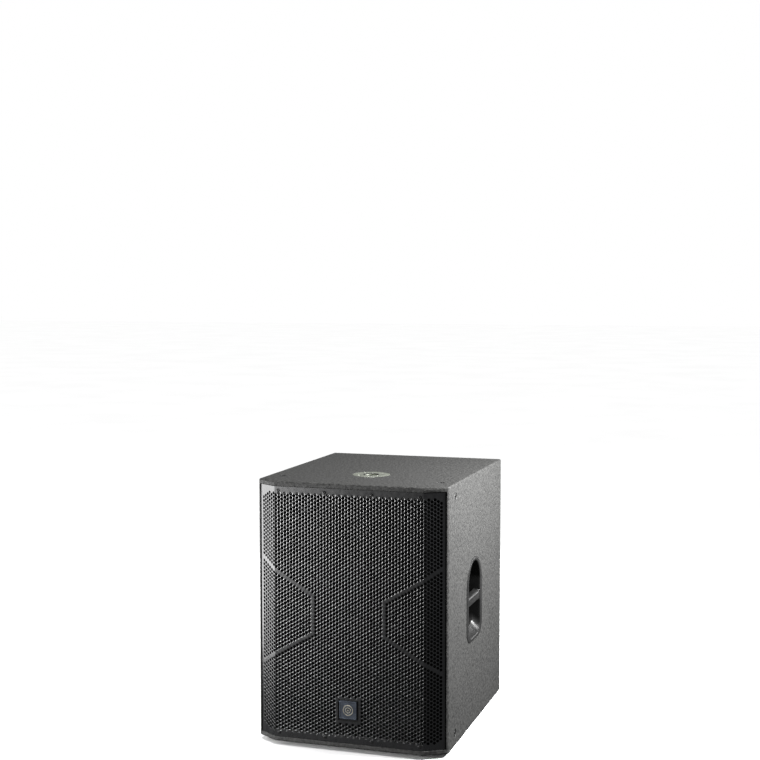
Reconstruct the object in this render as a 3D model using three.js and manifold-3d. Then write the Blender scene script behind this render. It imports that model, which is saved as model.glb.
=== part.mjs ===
// An 18 inch bass-reflex PA subwoofer: a painted plywood cabinet with a folded steel grille, side
// handles, a pole socket, rigging points, rubber feet, the woofer and a rear amplifier module.
// Millimetres, +Z up. The front faces -Y, +X is on the right seen from the front. The origin is on
// the floor, under the middle of the cabinet.
import * as THREE from 'three';
import { mergeVertices } from 'three/addons/utils/BufferGeometryUtils.js';
import Module from 'manifold-3d';

const wasm = await Module();
wasm.setup();

// ---------- driving dimensions ----------
const gap = 0.3; // between pieces that touch

const cabinet = { width: 520, height: 690, sideDepth: 593, bevelWidth: 57, bevelDepth: 35 };
const panel = 15; // plywood
const edgeRadius = 4.5;
const footHeight = 10;
// The rebate that the grille sits in, inside the front edges of the panels.
const seat = { halfWidth: 254.5, lipTop: 12.5, lipBottom: 12.3, backY: -256 };

const bottomZ = footHeight;
const topZ = footHeight + cabinet.height;
const halfWidth = cabinet.width / 2;
const frontY = -(cabinet.sideDepth + cabinet.bevelDepth) / 2;
const backY = -frontY;
const sideFrontY = frontY + cabinet.bevelDepth;
const bendX = halfWidth - cabinet.bevelWidth;
const bevelSlope = cabinet.bevelDepth / cabinet.bevelWidth;
const innerX = halfWidth - panel;
const innerBottomZ = bottomZ + panel;
const innerTopZ = topZ - panel;

const baffle = { frontY: -250, thickness: 18 };
const rear = { outerY: 290, thickness: 15 };
const brace = { y: 80, windowWidth: 330, windowHeight: 520, corner: 40 };

const grille = { recess: 2, thickness: 1.5, halfWidth: 252, bottomZ: 23.3, topZ: 686, flangeY: -262 };
const grilleScrew = { spacing: 128, columns: 4, topZ: 675, bottomZ: 33, headR: 4.6, shankR: 2 };
const rail = { halfLength: 198, depth: 18, height: 20 };
const foam = { recess: 6.5, thickness: 6, halfWidth: 249 };
const badge = { size: 49, panSize: 56, holeSize: 56.8, z: 110, frontY: -313.4, panFrontY: -309 };

const handle = {
  y: -8, z: 356, width: 171, height: 227, archCorner: 82, lowCorner: 42, proud: 1.5, rebate: 3,
  mouthWidth: 129, mouthHeight: 207, mouthArchCorner: 62, mouthLowCorner: 34,
  pocketHeight: 168, pocketCorner: 28, slopeDepth: 22,
  depth: 62, wall: 3, barHeight: 28, barDepth: 24, barOffset: -4,
};
const plug = { r: 10, y: -213, topX: 220, inset: 35, recess: 0.4, hexR: 3.4, hexDepth: 6 };
const pole = { y: -117, flangeR: 51, flange: 3, boreR: 17.8, tubeR: 21, boreDepth: 78, threadR: 10 };
const foot = { r: 19, x: 190, frontY: -225, backY: 245 };

const woofer = { z: 443, flangeR: 232, cutoutR: 212.5 };
const port = { x: 140, z: 110, innerR: 50, wall: 3, flangeR: 64, rearY: -60 };

const amp = { halfWidth: 165, bottomZ: 130, topZ: 570, thickness: 3 };
const ampCover = { halfWidth: 147, bottomZ: 148, topZ: 552, frontY: 200, wall: 1.2 };
const ampCutout = { halfWidth: 150, bottomZ: 145, topZ: 555 };
const heatSink = { halfWidth: 150, bottomZ: 362, topZ: 555, base: 4, finHeight: 13, fins: 15, fin: 2.6 };
const ampFaceY = rear.outerY + gap + amp.thickness; // outer face of the amplifier panel
const connectorZ = 215;
const controlZ = 300;
const xlr = { inputX: 110, linkX: 62, width: 26, height: 31, flange: 2, barrelR: 11.8, depth: 22 };
const latch = { width: 8.2, height: 3.7, z: 12, proud: 2 };
const knob = { levelX: 112, crossoverX: 64, baseR: 8, topR: 6, length: 15 };
const phaseButton = { x: 22, r: 4, length: 10, proud: 5.5 };
const rocker = { x: -110, z: 300, width: 13.4, halfHeight: 10.4, pivotIn: 2.6, restTilt: -8 };
const inlet = { x: -110, width: 48, height: 24, flange: 3, bodyWidth: 27.5, bodyHeight: 20, depth: 20 };
const led = { x: -15, r: 2.6, length: 3 };

// ---------- colours ----------
const finish = (color, roughness, metalness = 0) =>
  new THREE.MeshStandardMaterial({ color, roughness, metalness });
const paint = finish(0x2b2c2d, 0.75);
const blackSteel = finish(0x1d1e20, 0.45, 0.3);
const blackFoam = finish(0x0a0a0b, 1.0);
const plywood = finish(0x9c7a50, 0.8);
const plastic = finish(0x1c1d1f, 0.5);
const rubber = finish(0x131313, 0.9);
const badgeMetal = finish(0x3a3f48, 0.4, 0.6);
const socketMetal = finish(0x8d9087, 0.4, 0.8);
const screwSteel = finish(0x1a1a1c, 0.4, 0.8);
const paperCone = finish(0x1b1b1b, 0.9);
const basketPaint = finish(0x202224, 0.6, 0.5);
const motorSteel = finish(0x777a7c, 0.45, 0.9);
const ferrite = finish(0x26282a, 0.7);
const circuitGreen = finish(0x14532d, 0.5);
const copper = finish(0x8a5a2b, 0.5, 0.4);
const sheetSteel = finish(0xa8abad, 0.45, 0.9);

// ---------- geometry helpers ----------
const axisX = new THREE.Vector3(1, 0, 0);
const axisY = new THREE.Vector3(0, 1, 0);
const axisZ = new THREE.Vector3(0, 0, 1);
// Where a drawing's X, Y and its normal point, for each way a face can look.
const facings = {
  up: [axisX, axisY, axisZ],
  front: [axisX, axisZ, axisY.clone().negate()],
  rear: [axisX.clone().negate(), axisZ, axisY],
  right: [axisY, axisZ, axisX],
};

// Welds a geometry's vertices, drops its empty triangles and turns its faces outwards.
function closed(geometry) {
  const bare = geometry.clone();
  bare.deleteAttribute('normal');
  bare.deleteAttribute('uv');
  const welded = mergeVertices(bare, 1e-3);
  const index = welded.index.array;
  const [a, b, c] = [new THREE.Vector3(), new THREE.Vector3(), new THREE.Vector3()];
  const kept = [];
  let volume = 0;
  for (let i = 0; i < index.length; i += 3) {
    const [p, q, r] = [index[i], index[i + 1], index[i + 2]];
    if (p === q || q === r || r === p) continue;
    kept.push(p, q, r);
    a.fromBufferAttribute(welded.attributes.position, p);
    b.fromBufferAttribute(welded.attributes.position, q);
    c.fromBufferAttribute(welded.attributes.position, r);
    volume += a.dot(b.cross(c));
  }
  welded.setIndex(volume < 0 ? kept.reverse() : kept);
  return welded;
}

function toSolid(geometry) {
  const mesh = closed(geometry);
  return new wasm.Manifold(new wasm.Mesh({
    numProp: 3,
    vertProperties: Float32Array.from(mesh.attributes.position.array),
    triVerts: Uint32Array.from(mesh.index.array),
  }));
}

function toGeometry(solid) {
  const mesh = solid.getMesh();
  const geometry = new THREE.BufferGeometry();
  geometry.setAttribute('position', new THREE.BufferAttribute(mesh.vertProperties, 3));
  geometry.setIndex(new THREE.BufferAttribute(mesh.triVerts, 1));
  return geometry;
}

const cut = (base, ...tools) =>
  toGeometry(tools.reduce((solid, tool) => solid.subtract(toSolid(tool)), toSolid(base)));
const join = (base, ...others) =>
  toGeometry(others.reduce((solid, other) => solid.add(toSolid(other)), toSolid(base)));
const common = (base, other) => toGeometry(toSolid(base).intersect(toSolid(other)));

function box([x0, x1], [y0, y1], [z0, z1]) {
  return new THREE.BoxGeometry(x1 - x0, y1 - y0, z1 - z0)
    .translate((x0 + x1) / 2, (y0 + y1) / 2, (z0 + z1) / 2);
}

// A drawing pushed out of its plane at `at` by `depth`, the way it faces.
function prism(shape, facing, at, depth, segments = 5, bevel = {}) {
  const options = { depth, curveSegments: segments, bevelEnabled: false, ...bevel };
  return new THREE.ExtrudeGeometry(shape, options)
    .applyMatrix4(new THREE.Matrix4().makeBasis(...facings[facing]))
    .translate(...at);
}

// A profile of [radius, height] points turned round an axis through `at`.
function turned(profile, facing, at, segments) {
  const geometry = new THREE.LatheGeometry(profile.map(([r, h]) => new THREE.Vector2(r, h)), segments);
  if (facing === 'up') geometry.rotateX(Math.PI / 2);
  if (facing === 'right') geometry.rotateZ(-Math.PI / 2);
  if (facing === 'left') geometry.rotateZ(Math.PI / 2);
  return closed(geometry.translate(...at));
}

const ring = (innerR, outerR, h0, h1) =>
  [[innerR, h0], [outerR, h0], [outerR, h1], [innerR, h1], [innerR, h0]];
const disc = (r, h0, h1) => [[0, h0], [r, h0], [r, h1], [0, h1]];

function polygon(points) {
  return new THREE.Shape(points.map(([x, y]) => new THREE.Vector2(x, y)));
}

function roundedRect(width, height, radius, [cx, cy] = [0, 0], lowRadius = radius) {
  const shape = new THREE.Shape();
  [[1, 1], [-1, 1], [-1, -1], [1, -1]].forEach(([acrossSign, upSign], quarter) => {
    const r = upSign > 0 ? radius : lowRadius;
    const x = cx + acrossSign * (width / 2 - r);
    const y = cy + upSign * (height / 2 - r);
    shape.absarc(x, y, r, quarter * Math.PI / 2, (quarter + 1) * Math.PI / 2);
  });
  shape.closePath();
  return shape;
}

// The handle's two outlines have an arched top and squarer lower corners.
function handleFlange(extra) {
  return roundedRect(handle.width + 2 * extra, handle.height + 2 * extra, handle.archCorner, [0, 0],
    handle.lowCorner);
}

function handleMouth(extra) {
  return roundedRect(handle.mouthWidth + 2 * extra, handle.mouthHeight + 2 * extra, handle.mouthArchCorner,
    [0, 0], handle.mouthLowCorner);
}

// ---------- assembly ----------
const speaker = new THREE.Group();

function add(name, geometry, material) {
  const mesh = new THREE.Mesh(closed(geometry), material);
  mesh.name = name;
  speaker.add(mesh);
  return mesh;
}

// ---------- cabinet panels ----------
// The outline seen from above, with its two bevelled front corners, inset from the real faces.
function cabinetOutline(inset) {
  const x = halfWidth - inset;
  const bend = bendX - inset * bevelSlope / 2;
  return polygon([
    [-x, sideFrontY + inset / 2], [-bend, frontY + inset], [bend, frontY + inset],
    [x, sideFrontY + inset / 2], [x, backY - inset], [-x, backY - inset],
  ]);
}

function cabinetBlock() {
  const rounding = { bevelEnabled: true, bevelThickness: edgeRadius, bevelSize: edgeRadius, bevelSegments: 3 };
  return prism(cabinetOutline(edgeRadius), 'up', [0, 0, bottomZ + edgeRadius],
    cabinet.height - 2 * edgeRadius, 1, rounding);
}

const block = cabinetBlock();
const acrossAll = [-halfWidth, halfWidth];
const alongAll = [frontY, backY];
const grilleSeat = box([-seat.halfWidth, seat.halfWidth], [frontY - panel, seat.backY],
  [bottomZ + seat.lipBottom, topZ - seat.lipTop]);

function plugHole(facing, at) {
  return turned(disc(plug.r + gap, -panel, panel), facing, at, 14);
}

function topPanel() {
  const slab = common(block, box(acrossAll, alongAll, [innerTopZ, topZ]));
  const flangeSeat = turned(disc(pole.flangeR + gap, -pole.flange - gap, panel), 'up', [0, pole.y, topZ], 28);
  const tubeHole = turned(disc(pole.tubeR + gap, -2 * panel, 0), 'up', [0, pole.y, topZ], 28);
  const rigging = [-1, 1].map((side) => plugHole('up', [side * plug.topX, plug.y, topZ]));
  return cut(slab, grilleSeat, flangeSeat, tubeHole, ...rigging);
}

function sidePanel(side) {
  const across = side > 0 ? [innerX, halfWidth] : [-halfWidth, -innerX];
  const slab = common(block, box(across, alongAll, [innerBottomZ + gap, innerTopZ - gap]));
  const cup = handleMouth(handle.wall + 0.5);
  const cupHole = prism(cup, 'right', [side * halfWidth - panel * 1.5, handle.y, handle.z], panel * 3);
  const flange = handleFlange(gap);
  const rebateX = side > 0 ? halfWidth - handle.rebate - gap : -halfWidth - panel;
  const rebate = prism(flange, 'right', [rebateX, handle.y, handle.z],
    panel + handle.rebate + gap);
  const rigging = [bottomZ + plug.inset, topZ - plug.inset]
    .map((z) => plugHole('right', [side * halfWidth, plug.y, z]));
  return cut(slab, grilleSeat, cupHole, rebate, ...rigging);
}

function rearPanel() {
  const { halfWidth: w, bottomZ: low, topZ: high } = ampCutout;
  const slab = box([-innerX + gap, innerX - gap], [rear.outerY - rear.thickness, rear.outerY],
    [innerBottomZ + gap, innerTopZ - gap]);
  return cut(slab, box([-w, w], [rear.outerY - 2 * rear.thickness, backY], [low, high]));
}

function baffleBoard() {
  const slab = box([-innerX + gap, innerX - gap], [baffle.frontY, baffle.frontY + baffle.thickness],
    [innerBottomZ + gap, innerTopZ - gap]);
  const through = (r, x, z, segments) =>
    turned(disc(r, -baffle.thickness, 2 * baffle.thickness), 'rear', [x, baffle.frontY, z], segments);
  return cut(slab, through(woofer.cutoutR, 0, woofer.z, 28),
    through(port.innerR + port.wall + 1, port.x, port.z, 20),
    through(port.innerR + port.wall + 1, -port.x, port.z, 20));
}

function crossBrace() {
  const slab = box([-innerX + gap, innerX - gap], [brace.y, brace.y + panel],
    [innerBottomZ + gap, innerTopZ - gap]);
  const window = roundedRect(brace.windowWidth, brace.windowHeight, brace.corner,
    [0, (bottomZ + topZ) / 2]);
  return cut(slab, prism(window, 'front', [0, brace.y + 2 * panel, 0], 3 * panel));
}

add('top_panel', topPanel(), paint);
add('bottom_panel', cut(common(block, box(acrossAll, alongAll, [bottomZ, innerBottomZ])), grilleSeat), paint);
add('side_panel_left', sidePanel(-1), paint);
add('side_panel_right', sidePanel(1), paint);
add('rear_panel', rearPanel(), paint);
add('baffle_board', baffleBoard(), plywood);
add('cross_brace', crossBrace(), plywood);

// ---------- grille, its rails, foam, screws and badge ----------
const bevelAngle = Math.atan(bevelSlope);
// X of the fold, and Y at a given X, of a sheet that lies `inset` behind the cabinet's front faces.
const foldX = (inset) => bendX - inset * Math.tan(bevelAngle / 2);
const sheetY = (inset, x) => frontY + inset + Math.max(0, Math.abs(x) - foldX(inset)) * bevelSlope;

function foldedSheet(inset, thickness, endX, flangeY) {
  const backInset = inset + thickness;
  const innerEndX = flangeY === undefined ? endX : endX - thickness;
  const outer = [[foldX(inset), frontY + inset], [endX, sheetY(inset, endX)]];
  const flange = flangeY === undefined ? [] : [[endX, flangeY], [innerEndX, flangeY]];
  const inner = [[innerEndX, sheetY(backInset, innerEndX)], [foldX(backInset), frontY + backInset]];
  const rightHalf = [...outer, ...flange, ...inner];
  const leftHalf = rightHalf.map(([x, y]) => [-x, y]).reverse();
  return polygon([...rightHalf, ...leftHalf]);
}

const screwXs = Array.from({ length: grilleScrew.columns },
  (_, i) => (i - (grilleScrew.columns - 1) / 2) * grilleScrew.spacing);
const grilleFrontY = frontY + grille.recess;

function screwHoles(z) {
  return screwXs.map((x) =>
    turned(disc(grilleScrew.shankR + gap, -panel, 3 * panel), 'rear', [x, grilleFrontY, z], 10));
}

function frontGrille() {
  const sheet = prism(foldedSheet(grille.recess, grille.thickness, grille.halfWidth, grille.flangeY), 'up',
    [0, 0, grille.bottomZ], grille.topZ - grille.bottomZ);
  const badgeHole = box([-badge.holeSize / 2, badge.holeSize / 2], [frontY - panel, frontY + panel],
    [badge.z - badge.holeSize / 2, badge.z + badge.holeSize / 2]);
  return cut(sheet, badgeHole, ...screwHoles(grilleScrew.topZ), ...screwHoles(grilleScrew.bottomZ));
}

function grilleRail(lowZ, highZ, screwZ) {
  const railFrontY = grilleFrontY + grille.thickness + gap;
  const batten = box([-rail.halfLength, rail.halfLength], [railFrontY, railFrontY + rail.depth],
    [lowZ, highZ]);
  return cut(batten, ...screwHoles(screwZ));
}

const seatTopZ = topZ - seat.lipTop - gap;
const seatBottomZ = bottomZ + seat.lipBottom + gap;
add('front_grille', frontGrille(), blackSteel);
add('grille_rail_top', grilleRail(seatTopZ - rail.height, seatTopZ, grilleScrew.topZ), plywood);
add('grille_rail_bottom', grilleRail(seatBottomZ, seatBottomZ + rail.height, grilleScrew.bottomZ), plywood);
add('grille_foam', prism(foldedSheet(foam.recess, foam.thickness, foam.halfWidth), 'up',
  [0, 0, seatBottomZ + rail.height + gap], seatTopZ - seatBottomZ - 2 * rail.height - 2 * gap), blackFoam);

const screwProfile = [
  [0, -1.6], [grilleScrew.headR - 1.4, -1.6], [grilleScrew.headR, -0.6], [grilleScrew.headR, 0],
  [grilleScrew.shankR, 0], [grilleScrew.shankR, 13], [0, 14.5],
];
for (const [row, z] of [['top', grilleScrew.topZ], ['bottom', grilleScrew.bottomZ]]) {
  screwXs.forEach((x, i) => {
    add(`grille_screw_${row}_${i + 1}`, turned(screwProfile, 'rear', [x, grilleFrontY - gap, z], 10),
      screwSteel);
  });
}

function badgePlate() {
  const [small, large] = [badge.size / 2, badge.panSize / 2];
  const pan = box([-large, large], [badge.panFrontY, badge.panFrontY + 1], [badge.z - large, badge.z + large]);
  const plate = box([-small, small], [badge.frontY, badge.panFrontY + 0.5], [badge.z - small, badge.z + small]);
  return join(pan, plate);
}
add('badge_plate', badgePlate(), badgeMetal);

// ---------- side handles ----------
// Modelled with its mouth facing +X, its centre at the origin and x = 0 on the cabinet's side.
function handleMoulding() {
  const { mouthWidth, wall, depth } = handle;
  const flange = prism(handleFlange(0), 'right', [-handle.rebate, 0, 0], handle.rebate + handle.proud);
  const cup = prism(handleMouth(wall), 'right', [-depth, 0, 0], depth);
  const mouth = prism(handleMouth(0), 'right', [-handle.slopeDepth, 0, 0], 2 * handle.slopeDepth);
  const pocket = prism(roundedRect(mouthWidth, handle.pocketHeight, handle.pocketCorner), 'right',
    [-depth + wall, 0, 0], depth);
  const bar = box([-handle.barDepth - 1, -1], [-mouthWidth / 2 - 1, mouthWidth / 2 + 1],
    [handle.barOffset - handle.barHeight / 2, handle.barOffset + handle.barHeight / 2]);
  return join(cut(join(flange, cup), mouth, pocket), bar);
}

const moulding = handleMoulding();
add('handle_right', moulding.clone().translate(halfWidth, handle.y, handle.z), plastic);
add('handle_left', moulding.clone().rotateZ(Math.PI).translate(-halfWidth, handle.y, handle.z), plastic);

// ---------- rigging plugs, pole socket, feet ----------
const plugProfile = [
  [0, -plug.recess - plug.hexDepth], [plug.hexR, -plug.recess - plug.hexDepth],
  [plug.hexR, -plug.recess], [plug.r, -plug.recess], [plug.r, -panel + gap], [0, -panel + gap],
];
for (const [side, name] of [[-1, 'left'], [1, 'right']]) {
  add(`rigging_plug_top_${name}`, turned(plugProfile, 'up', [side * plug.topX, plug.y, topZ], 14), screwSteel);
  for (const [end, z] of [['upper', topZ - plug.inset], ['lower', bottomZ + plug.inset]]) {
    add(`rigging_plug_${name}_${end}`, turned(plugProfile, name, [side * halfWidth, plug.y, z], 14),
      screwSteel);
  }
}

const socketProfile = [
  [pole.boreR, 0], [pole.flangeR, 0], [pole.flangeR, -pole.flange], [pole.tubeR, -pole.flange],
  [pole.tubeR, -pole.boreDepth - 18], [0, -pole.boreDepth - 18], [0, -pole.boreDepth - 15],
  [pole.threadR, -pole.boreDepth - 15], [pole.threadR, -pole.boreDepth], [pole.boreR, -pole.boreDepth],
  [pole.boreR, 0],
];
add('pole_socket', turned(socketProfile, 'up', [0, pole.y, topZ], 28), socketMetal);

const footProfile = [
  [0, 5], [7, 5], [8, 0], [foot.r - 2, 0], [foot.r, footHeight - gap], [0, footHeight - gap],
];
for (const [end, y] of [['front', foot.frontY], ['back', foot.backY]]) {
  for (const [side, name] of [[-1, 'left'], [1, 'right']]) {
    add(`foot_${end}_${name}`, turned(footProfile, 'up', [side * foot.x, y, 0], 16), rubber);
  }
}

// ---------- bass-reflex ports ----------
const portProfile = [
  [port.innerR, baffle.frontY + 8], [port.innerR + 8, baffle.frontY - 3.5],
  [port.flangeR, baffle.frontY - 3.5], [port.flangeR, baffle.frontY - gap],
  [port.innerR + port.wall, baffle.frontY - gap], [port.innerR + port.wall, port.rearY - 16],
  [port.innerR + 9, port.rearY], [port.innerR + 6, port.rearY], [port.innerR, port.rearY - 16],
  [port.innerR, baffle.frontY + 8],
];
add('port_tube_left', turned(portProfile, 'rear', [-port.x, 0, port.z], 20), plastic);
add('port_tube_right', turned(portProfile, 'rear', [port.x, 0, port.z], 20), plastic);

// ---------- woofer, turned about its own axis; heights are the row's Y ----------
const wooferAt = [0, 0, woofer.z];
const flangeFrontY = baffle.frontY - 8;
const wooferPart = (name, profile, segments, material) =>
  add(name, turned(profile, 'rear', wooferAt, segments), material);

const coilR = 51;
const spiderY = -130;
const plateFrontY = -99.7;

function wooferBasket() {
  const profile = [
    [woofer.flangeR, flangeFrontY], [woofer.flangeR, baffle.frontY - gap], [211, baffle.frontY - gap],
    [210, -240], [126, -130], [122, -100], [62, -100], [62, -105], [98, -105], [98, -127],
    [120, -127], [120, -136], [203, -244], [205, flangeFrontY], [woofer.flangeR, flangeFrontY],
  ];
  const windows = [0, 1, 2, 3, 4, 5].map((i) => {
    const middle = (i + 0.5) * Math.PI / 3;
    const half = 0.33;
    const sector = new THREE.Shape();
    sector.absarc(0, 0, 190, middle - half, middle + half);
    sector.absarc(0, 0, 134, middle + half, middle - half, true);
    return prism(sector, 'front', [0, -120, woofer.z], 115, 3);
  });
  return cut(turned(profile, 'rear', wooferAt, 28), ...windows);
}
add('woofer_basket', wooferBasket(), basketPaint);

const landingY = flangeFrontY - gap;
function surroundProfile() {
  const [innerR, outerR, thickness] = [172, 206, 1.2];
  const [middle, roll] = [(innerR + outerR) / 2, (outerR - innerR) / 2];
  const arch = (radius, y) => Array.from({ length: 6 }, (_, i) => {
    const angle = Math.PI * i / 5;
    return [middle - radius * Math.cos(angle), y - radius * Math.sin(angle)];
  });
  const front = [[162, landingY - thickness], ...arch(roll, landingY - thickness), [226, landingY - thickness]];
  const back = [[226, landingY], ...arch(roll - thickness, landingY).reverse(), [162, landingY]];
  return [...front, ...back, front[0]];
}
wooferPart('woofer_surround', surroundProfile(), 28, rubber);

const coneBack = [[170, flangeFrontY + gap], [120, -224], [coilR + gap, -182]];
const conePaper = 1.6;
wooferPart('woofer_cone', [
  ...coneBack, ...coneBack.map(([r, y]) => [r, y - conePaper]).reverse(), coneBack[0],
].map(([r, y]) => [r, y + conePaper]), 28, paperCone);

function dustCapProfile() {
  const [edgeR, edgeY, crownY, thickness, steps] = [74, -196.6, -217, 1.2, 3];
  const dome = (lift) => Array.from({ length: steps + 1 }, (_, i) => {
    const share = i / steps;
    return [edgeR * share, crownY + lift + (edgeY - crownY) * share * share];
  });
  return [...dome(0), ...dome(thickness).map(([r, y]) => [r * 0.985, y - thickness * 0.2]).reverse()];
}
wooferPart('dust_cap', dustCapProfile(), 24, paperCone);
wooferPart('voice_coil', [
  [50.2, -188], [coilR, -188], [coilR, -106], [coilR + 0.6, -106], [coilR + 0.6, -86], [50.2, -86],
  [50.2, -188],
], 20, copper);

function spiderProfile() {
  const [innerR, outerR, waves, height, steps] = [coilR + gap, 116, 3, 4, 12];
  const line = (lift) => Array.from({ length: steps + 1 }, (_, i) => {
    const share = i / steps;
    return [innerR + (outerR - innerR) * share,
      spiderY + lift - height / 2 * Math.sin(share * waves * 2 * Math.PI)];
  });
  return [...line(0), ...line(0.8).reverse(), line(0)[0]];
}
wooferPart('woofer_spider', spiderProfile(), 20, copper);
wooferPart('magnet_top_plate', ring(52.8, 95, plateFrontY, -88), 20, motorSteel);
wooferPart('ferrite_magnet', ring(62, 108, -87.7, -66), 20, ferrite);
wooferPart('pole_piece_yoke', [
  [12, plateFrontY], [48.8, plateFrontY], [48.8, -65.7], [95, -65.7], [95, -54], [12, -54], [12, plateFrontY],
], 20, motorSteel);

// ---------- rear amplifier module ----------
const switchHole = { width: 18.8, height: 27.8 };
const slotFor = (clearance) => box(
  [xlr.inputX - latch.width / 2 - clearance, xlr.inputX + latch.width / 2 + clearance],
  [rear.outerY - 10, backY],
  [connectorZ + latch.z - latch.height / 2 - clearance, connectorZ + latch.z + latch.height / 2 + clearance]);

function ampPanel() {
  const plate = box([-amp.halfWidth, amp.halfWidth], [rear.outerY + gap, ampFaceY], [amp.bottomZ, amp.topZ]);
  const hole = (r, x, z) => turned(disc(r, -20, 20), 'rear', [x, ampFaceY, z], 20);
  const opening = (w, h, x, z) =>
    box([x - w / 2, x + w / 2], [rear.outerY - 20, backY], [z - h / 2, z + h / 2]);
  return cut(plate, hole(xlr.barrelR + gap, xlr.inputX, connectorZ), hole(xlr.barrelR + gap, xlr.linkX, connectorZ),
    hole(phaseButton.r + gap, phaseButton.x, controlZ),
    opening(switchHole.width, switchHole.height, rocker.x, rocker.z),
    opening(inlet.bodyWidth + 2 * gap, inlet.bodyHeight + 2 * gap, inlet.x, connectorZ), slotFor(gap));
}
add('amp_panel', ampPanel(), blackSteel);

function heatSinkComb() {
  const { halfWidth: half, base, finHeight, fins, fin } = heatSink;
  const pitch = (2 * half - fin) / (fins - 1);
  const teeth = Array.from({ length: fins }, (_, i) => {
    const x = half - i * pitch;
    return [[x, base], [x, base + finHeight], [x - fin, base + finHeight], [x - fin, base]];
  }).flat();
  const comb = polygon([[-half, 0], [half, 0], ...teeth.slice(1, -1), [-half, base]]);
  return prism(comb, 'up', [0, ampFaceY + gap, heatSink.bottomZ], heatSink.topZ - heatSink.bottomZ);
}
add('heat_sink', heatSinkComb(), blackSteel);

function xlrShell(x, boreDepth) {
  const flange = prism(roundedRect(xlr.width, xlr.height, 3, [-x, connectorZ]), 'rear',
    [0, ampFaceY + gap, 0], xlr.flange, 2);
  const barrel = turned(disc(xlr.barrelR, -xlr.depth, 1), 'rear', [x, ampFaceY + gap, connectorZ], 20);
  const bore = turned(disc(9.6, xlr.flange - boreDepth, 2 * xlr.flange), 'rear',
    [x, ampFaceY + gap, connectorZ], 20);
  return cut(join(flange, barrel), bore);
}

function xlrInput() {
  const contacts = [Math.PI / 2, Math.PI * 7 / 6, Math.PI * 11 / 6].map((angle) => turned(disc(1.4, -14, 5),
    'rear', [xlr.inputX + 4.5 * Math.cos(angle), ampFaceY, connectorZ - 1 + 4.5 * Math.sin(angle)], 8));
  return cut(xlrShell(xlr.inputX, 3.5), ...contacts, slotFor(gap));
}
add('xlr_input', xlrInput(), screwSteel);
add('xlr_link_output', xlrShell(xlr.linkX, 16), screwSteel);
add('xlr_latch', box([xlr.inputX - latch.width / 2, xlr.inputX + latch.width / 2],
  [ampFaceY, ampFaceY + gap + xlr.flange + latch.proud],
  [connectorZ + latch.z - latch.height / 2, connectorZ + latch.z + latch.height / 2]), sheetSteel);

function knobAt(x) {
  const { baseR, topR, length } = knob;
  const body = turned([[0, 0], [baseR, 0], [baseR, 1.5], [topR + 0.4, 3], [topR, length - 1], [topR - 1, length],
    [0, length]], 'rear', [x, ampFaceY + gap, controlZ], 20);
  const pointer = box([x - 0.6, x + 0.6], [ampFaceY + gap + 2, ampFaceY + gap + length + 0.5],
    [controlZ, controlZ + topR + 0.7]);
  return join(body, pointer);
}
add('level_knob', knobAt(knob.levelX), plastic);
add('crossover_knob', knobAt(knob.crossoverX), plastic);
add('phase_button', turned(disc(phaseButton.r, phaseButton.proud - phaseButton.length, phaseButton.proud), 'rear',
  [phaseButton.x, ampFaceY, controlZ], 16), plastic);
add('status_light', turned([[0, 0], [led.r, 0], [led.r, led.length * 0.5], [led.r * 0.7, led.length * 0.85],
  [0, led.length]], 'rear', [led.x, ampFaceY + gap, controlZ], 12), finish(0x2f8f4e, 0.3));

function switchFrame() {
  const centre = [-rocker.x, rocker.z];
  const flange = prism(roundedRect(21.5, 30.5, 2, centre), 'rear', [0, ampFaceY + gap, 0], 1.6, 2);
  const body = box([rocker.x - 9, rocker.x + 9], [ampFaceY - 16, ampFaceY + 1], [rocker.z - 13.5, rocker.z + 13.5]);
  const well = box([rocker.x - 7.2, rocker.x + 7.2], [ampFaceY - 12, backY], [rocker.z - 11.8, rocker.z + 11.8]);
  return cut(join(flange, body), well);
}
add('switch_frame', switchFrame(), plastic);

// The paddle's side view, in its own Y and Z about the pivot, pushed along X.
function rockerPaddle() {
  const { halfHeight: h, width } = rocker;
  const paddle = polygon([[-2, -8], [7, -h], [5, 0], [7, h], [-2, 8]]);
  return new THREE.ExtrudeGeometry(paddle, { depth: width, bevelEnabled: false })
    .applyMatrix4(new THREE.Matrix4().makeBasis(axisY, axisZ, axisX))
    .translate(-width / 2, 0, 0)
    .rotateX(THREE.MathUtils.degToRad(rocker.restTilt))
    .translate(rocker.x, ampFaceY - rocker.pivotIn, rocker.z);
}
add('power_switch', rockerPaddle(), plastic);

function mainsInlet() {
  const centre = [-inlet.x, connectorZ];
  const flange = prism(roundedRect(inlet.width, inlet.height, 3, centre), 'rear', [0, ampFaceY + gap, 0],
    inlet.flange, 2);
  const body = box([inlet.x - inlet.bodyWidth / 2, inlet.x + inlet.bodyWidth / 2],
    [ampFaceY - inlet.depth, ampFaceY + 1],
    [connectorZ - inlet.bodyHeight / 2, connectorZ + inlet.bodyHeight / 2]);
  const mouth = polygon([[-12.2, -8], [12.2, -8], [12.2, 3], [7.2, 8], [-7.2, 8], [-12.2, 3]]
    .map(([x, z]) => [x + centre[0], z + centre[1]]));
  const well = prism(mouth, 'rear', [0, ampFaceY - inlet.depth + 4, 0], inlet.depth + 10);
  return cut(join(flange, body), well);
}
add('mains_inlet', mainsInlet(), plastic);

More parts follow.
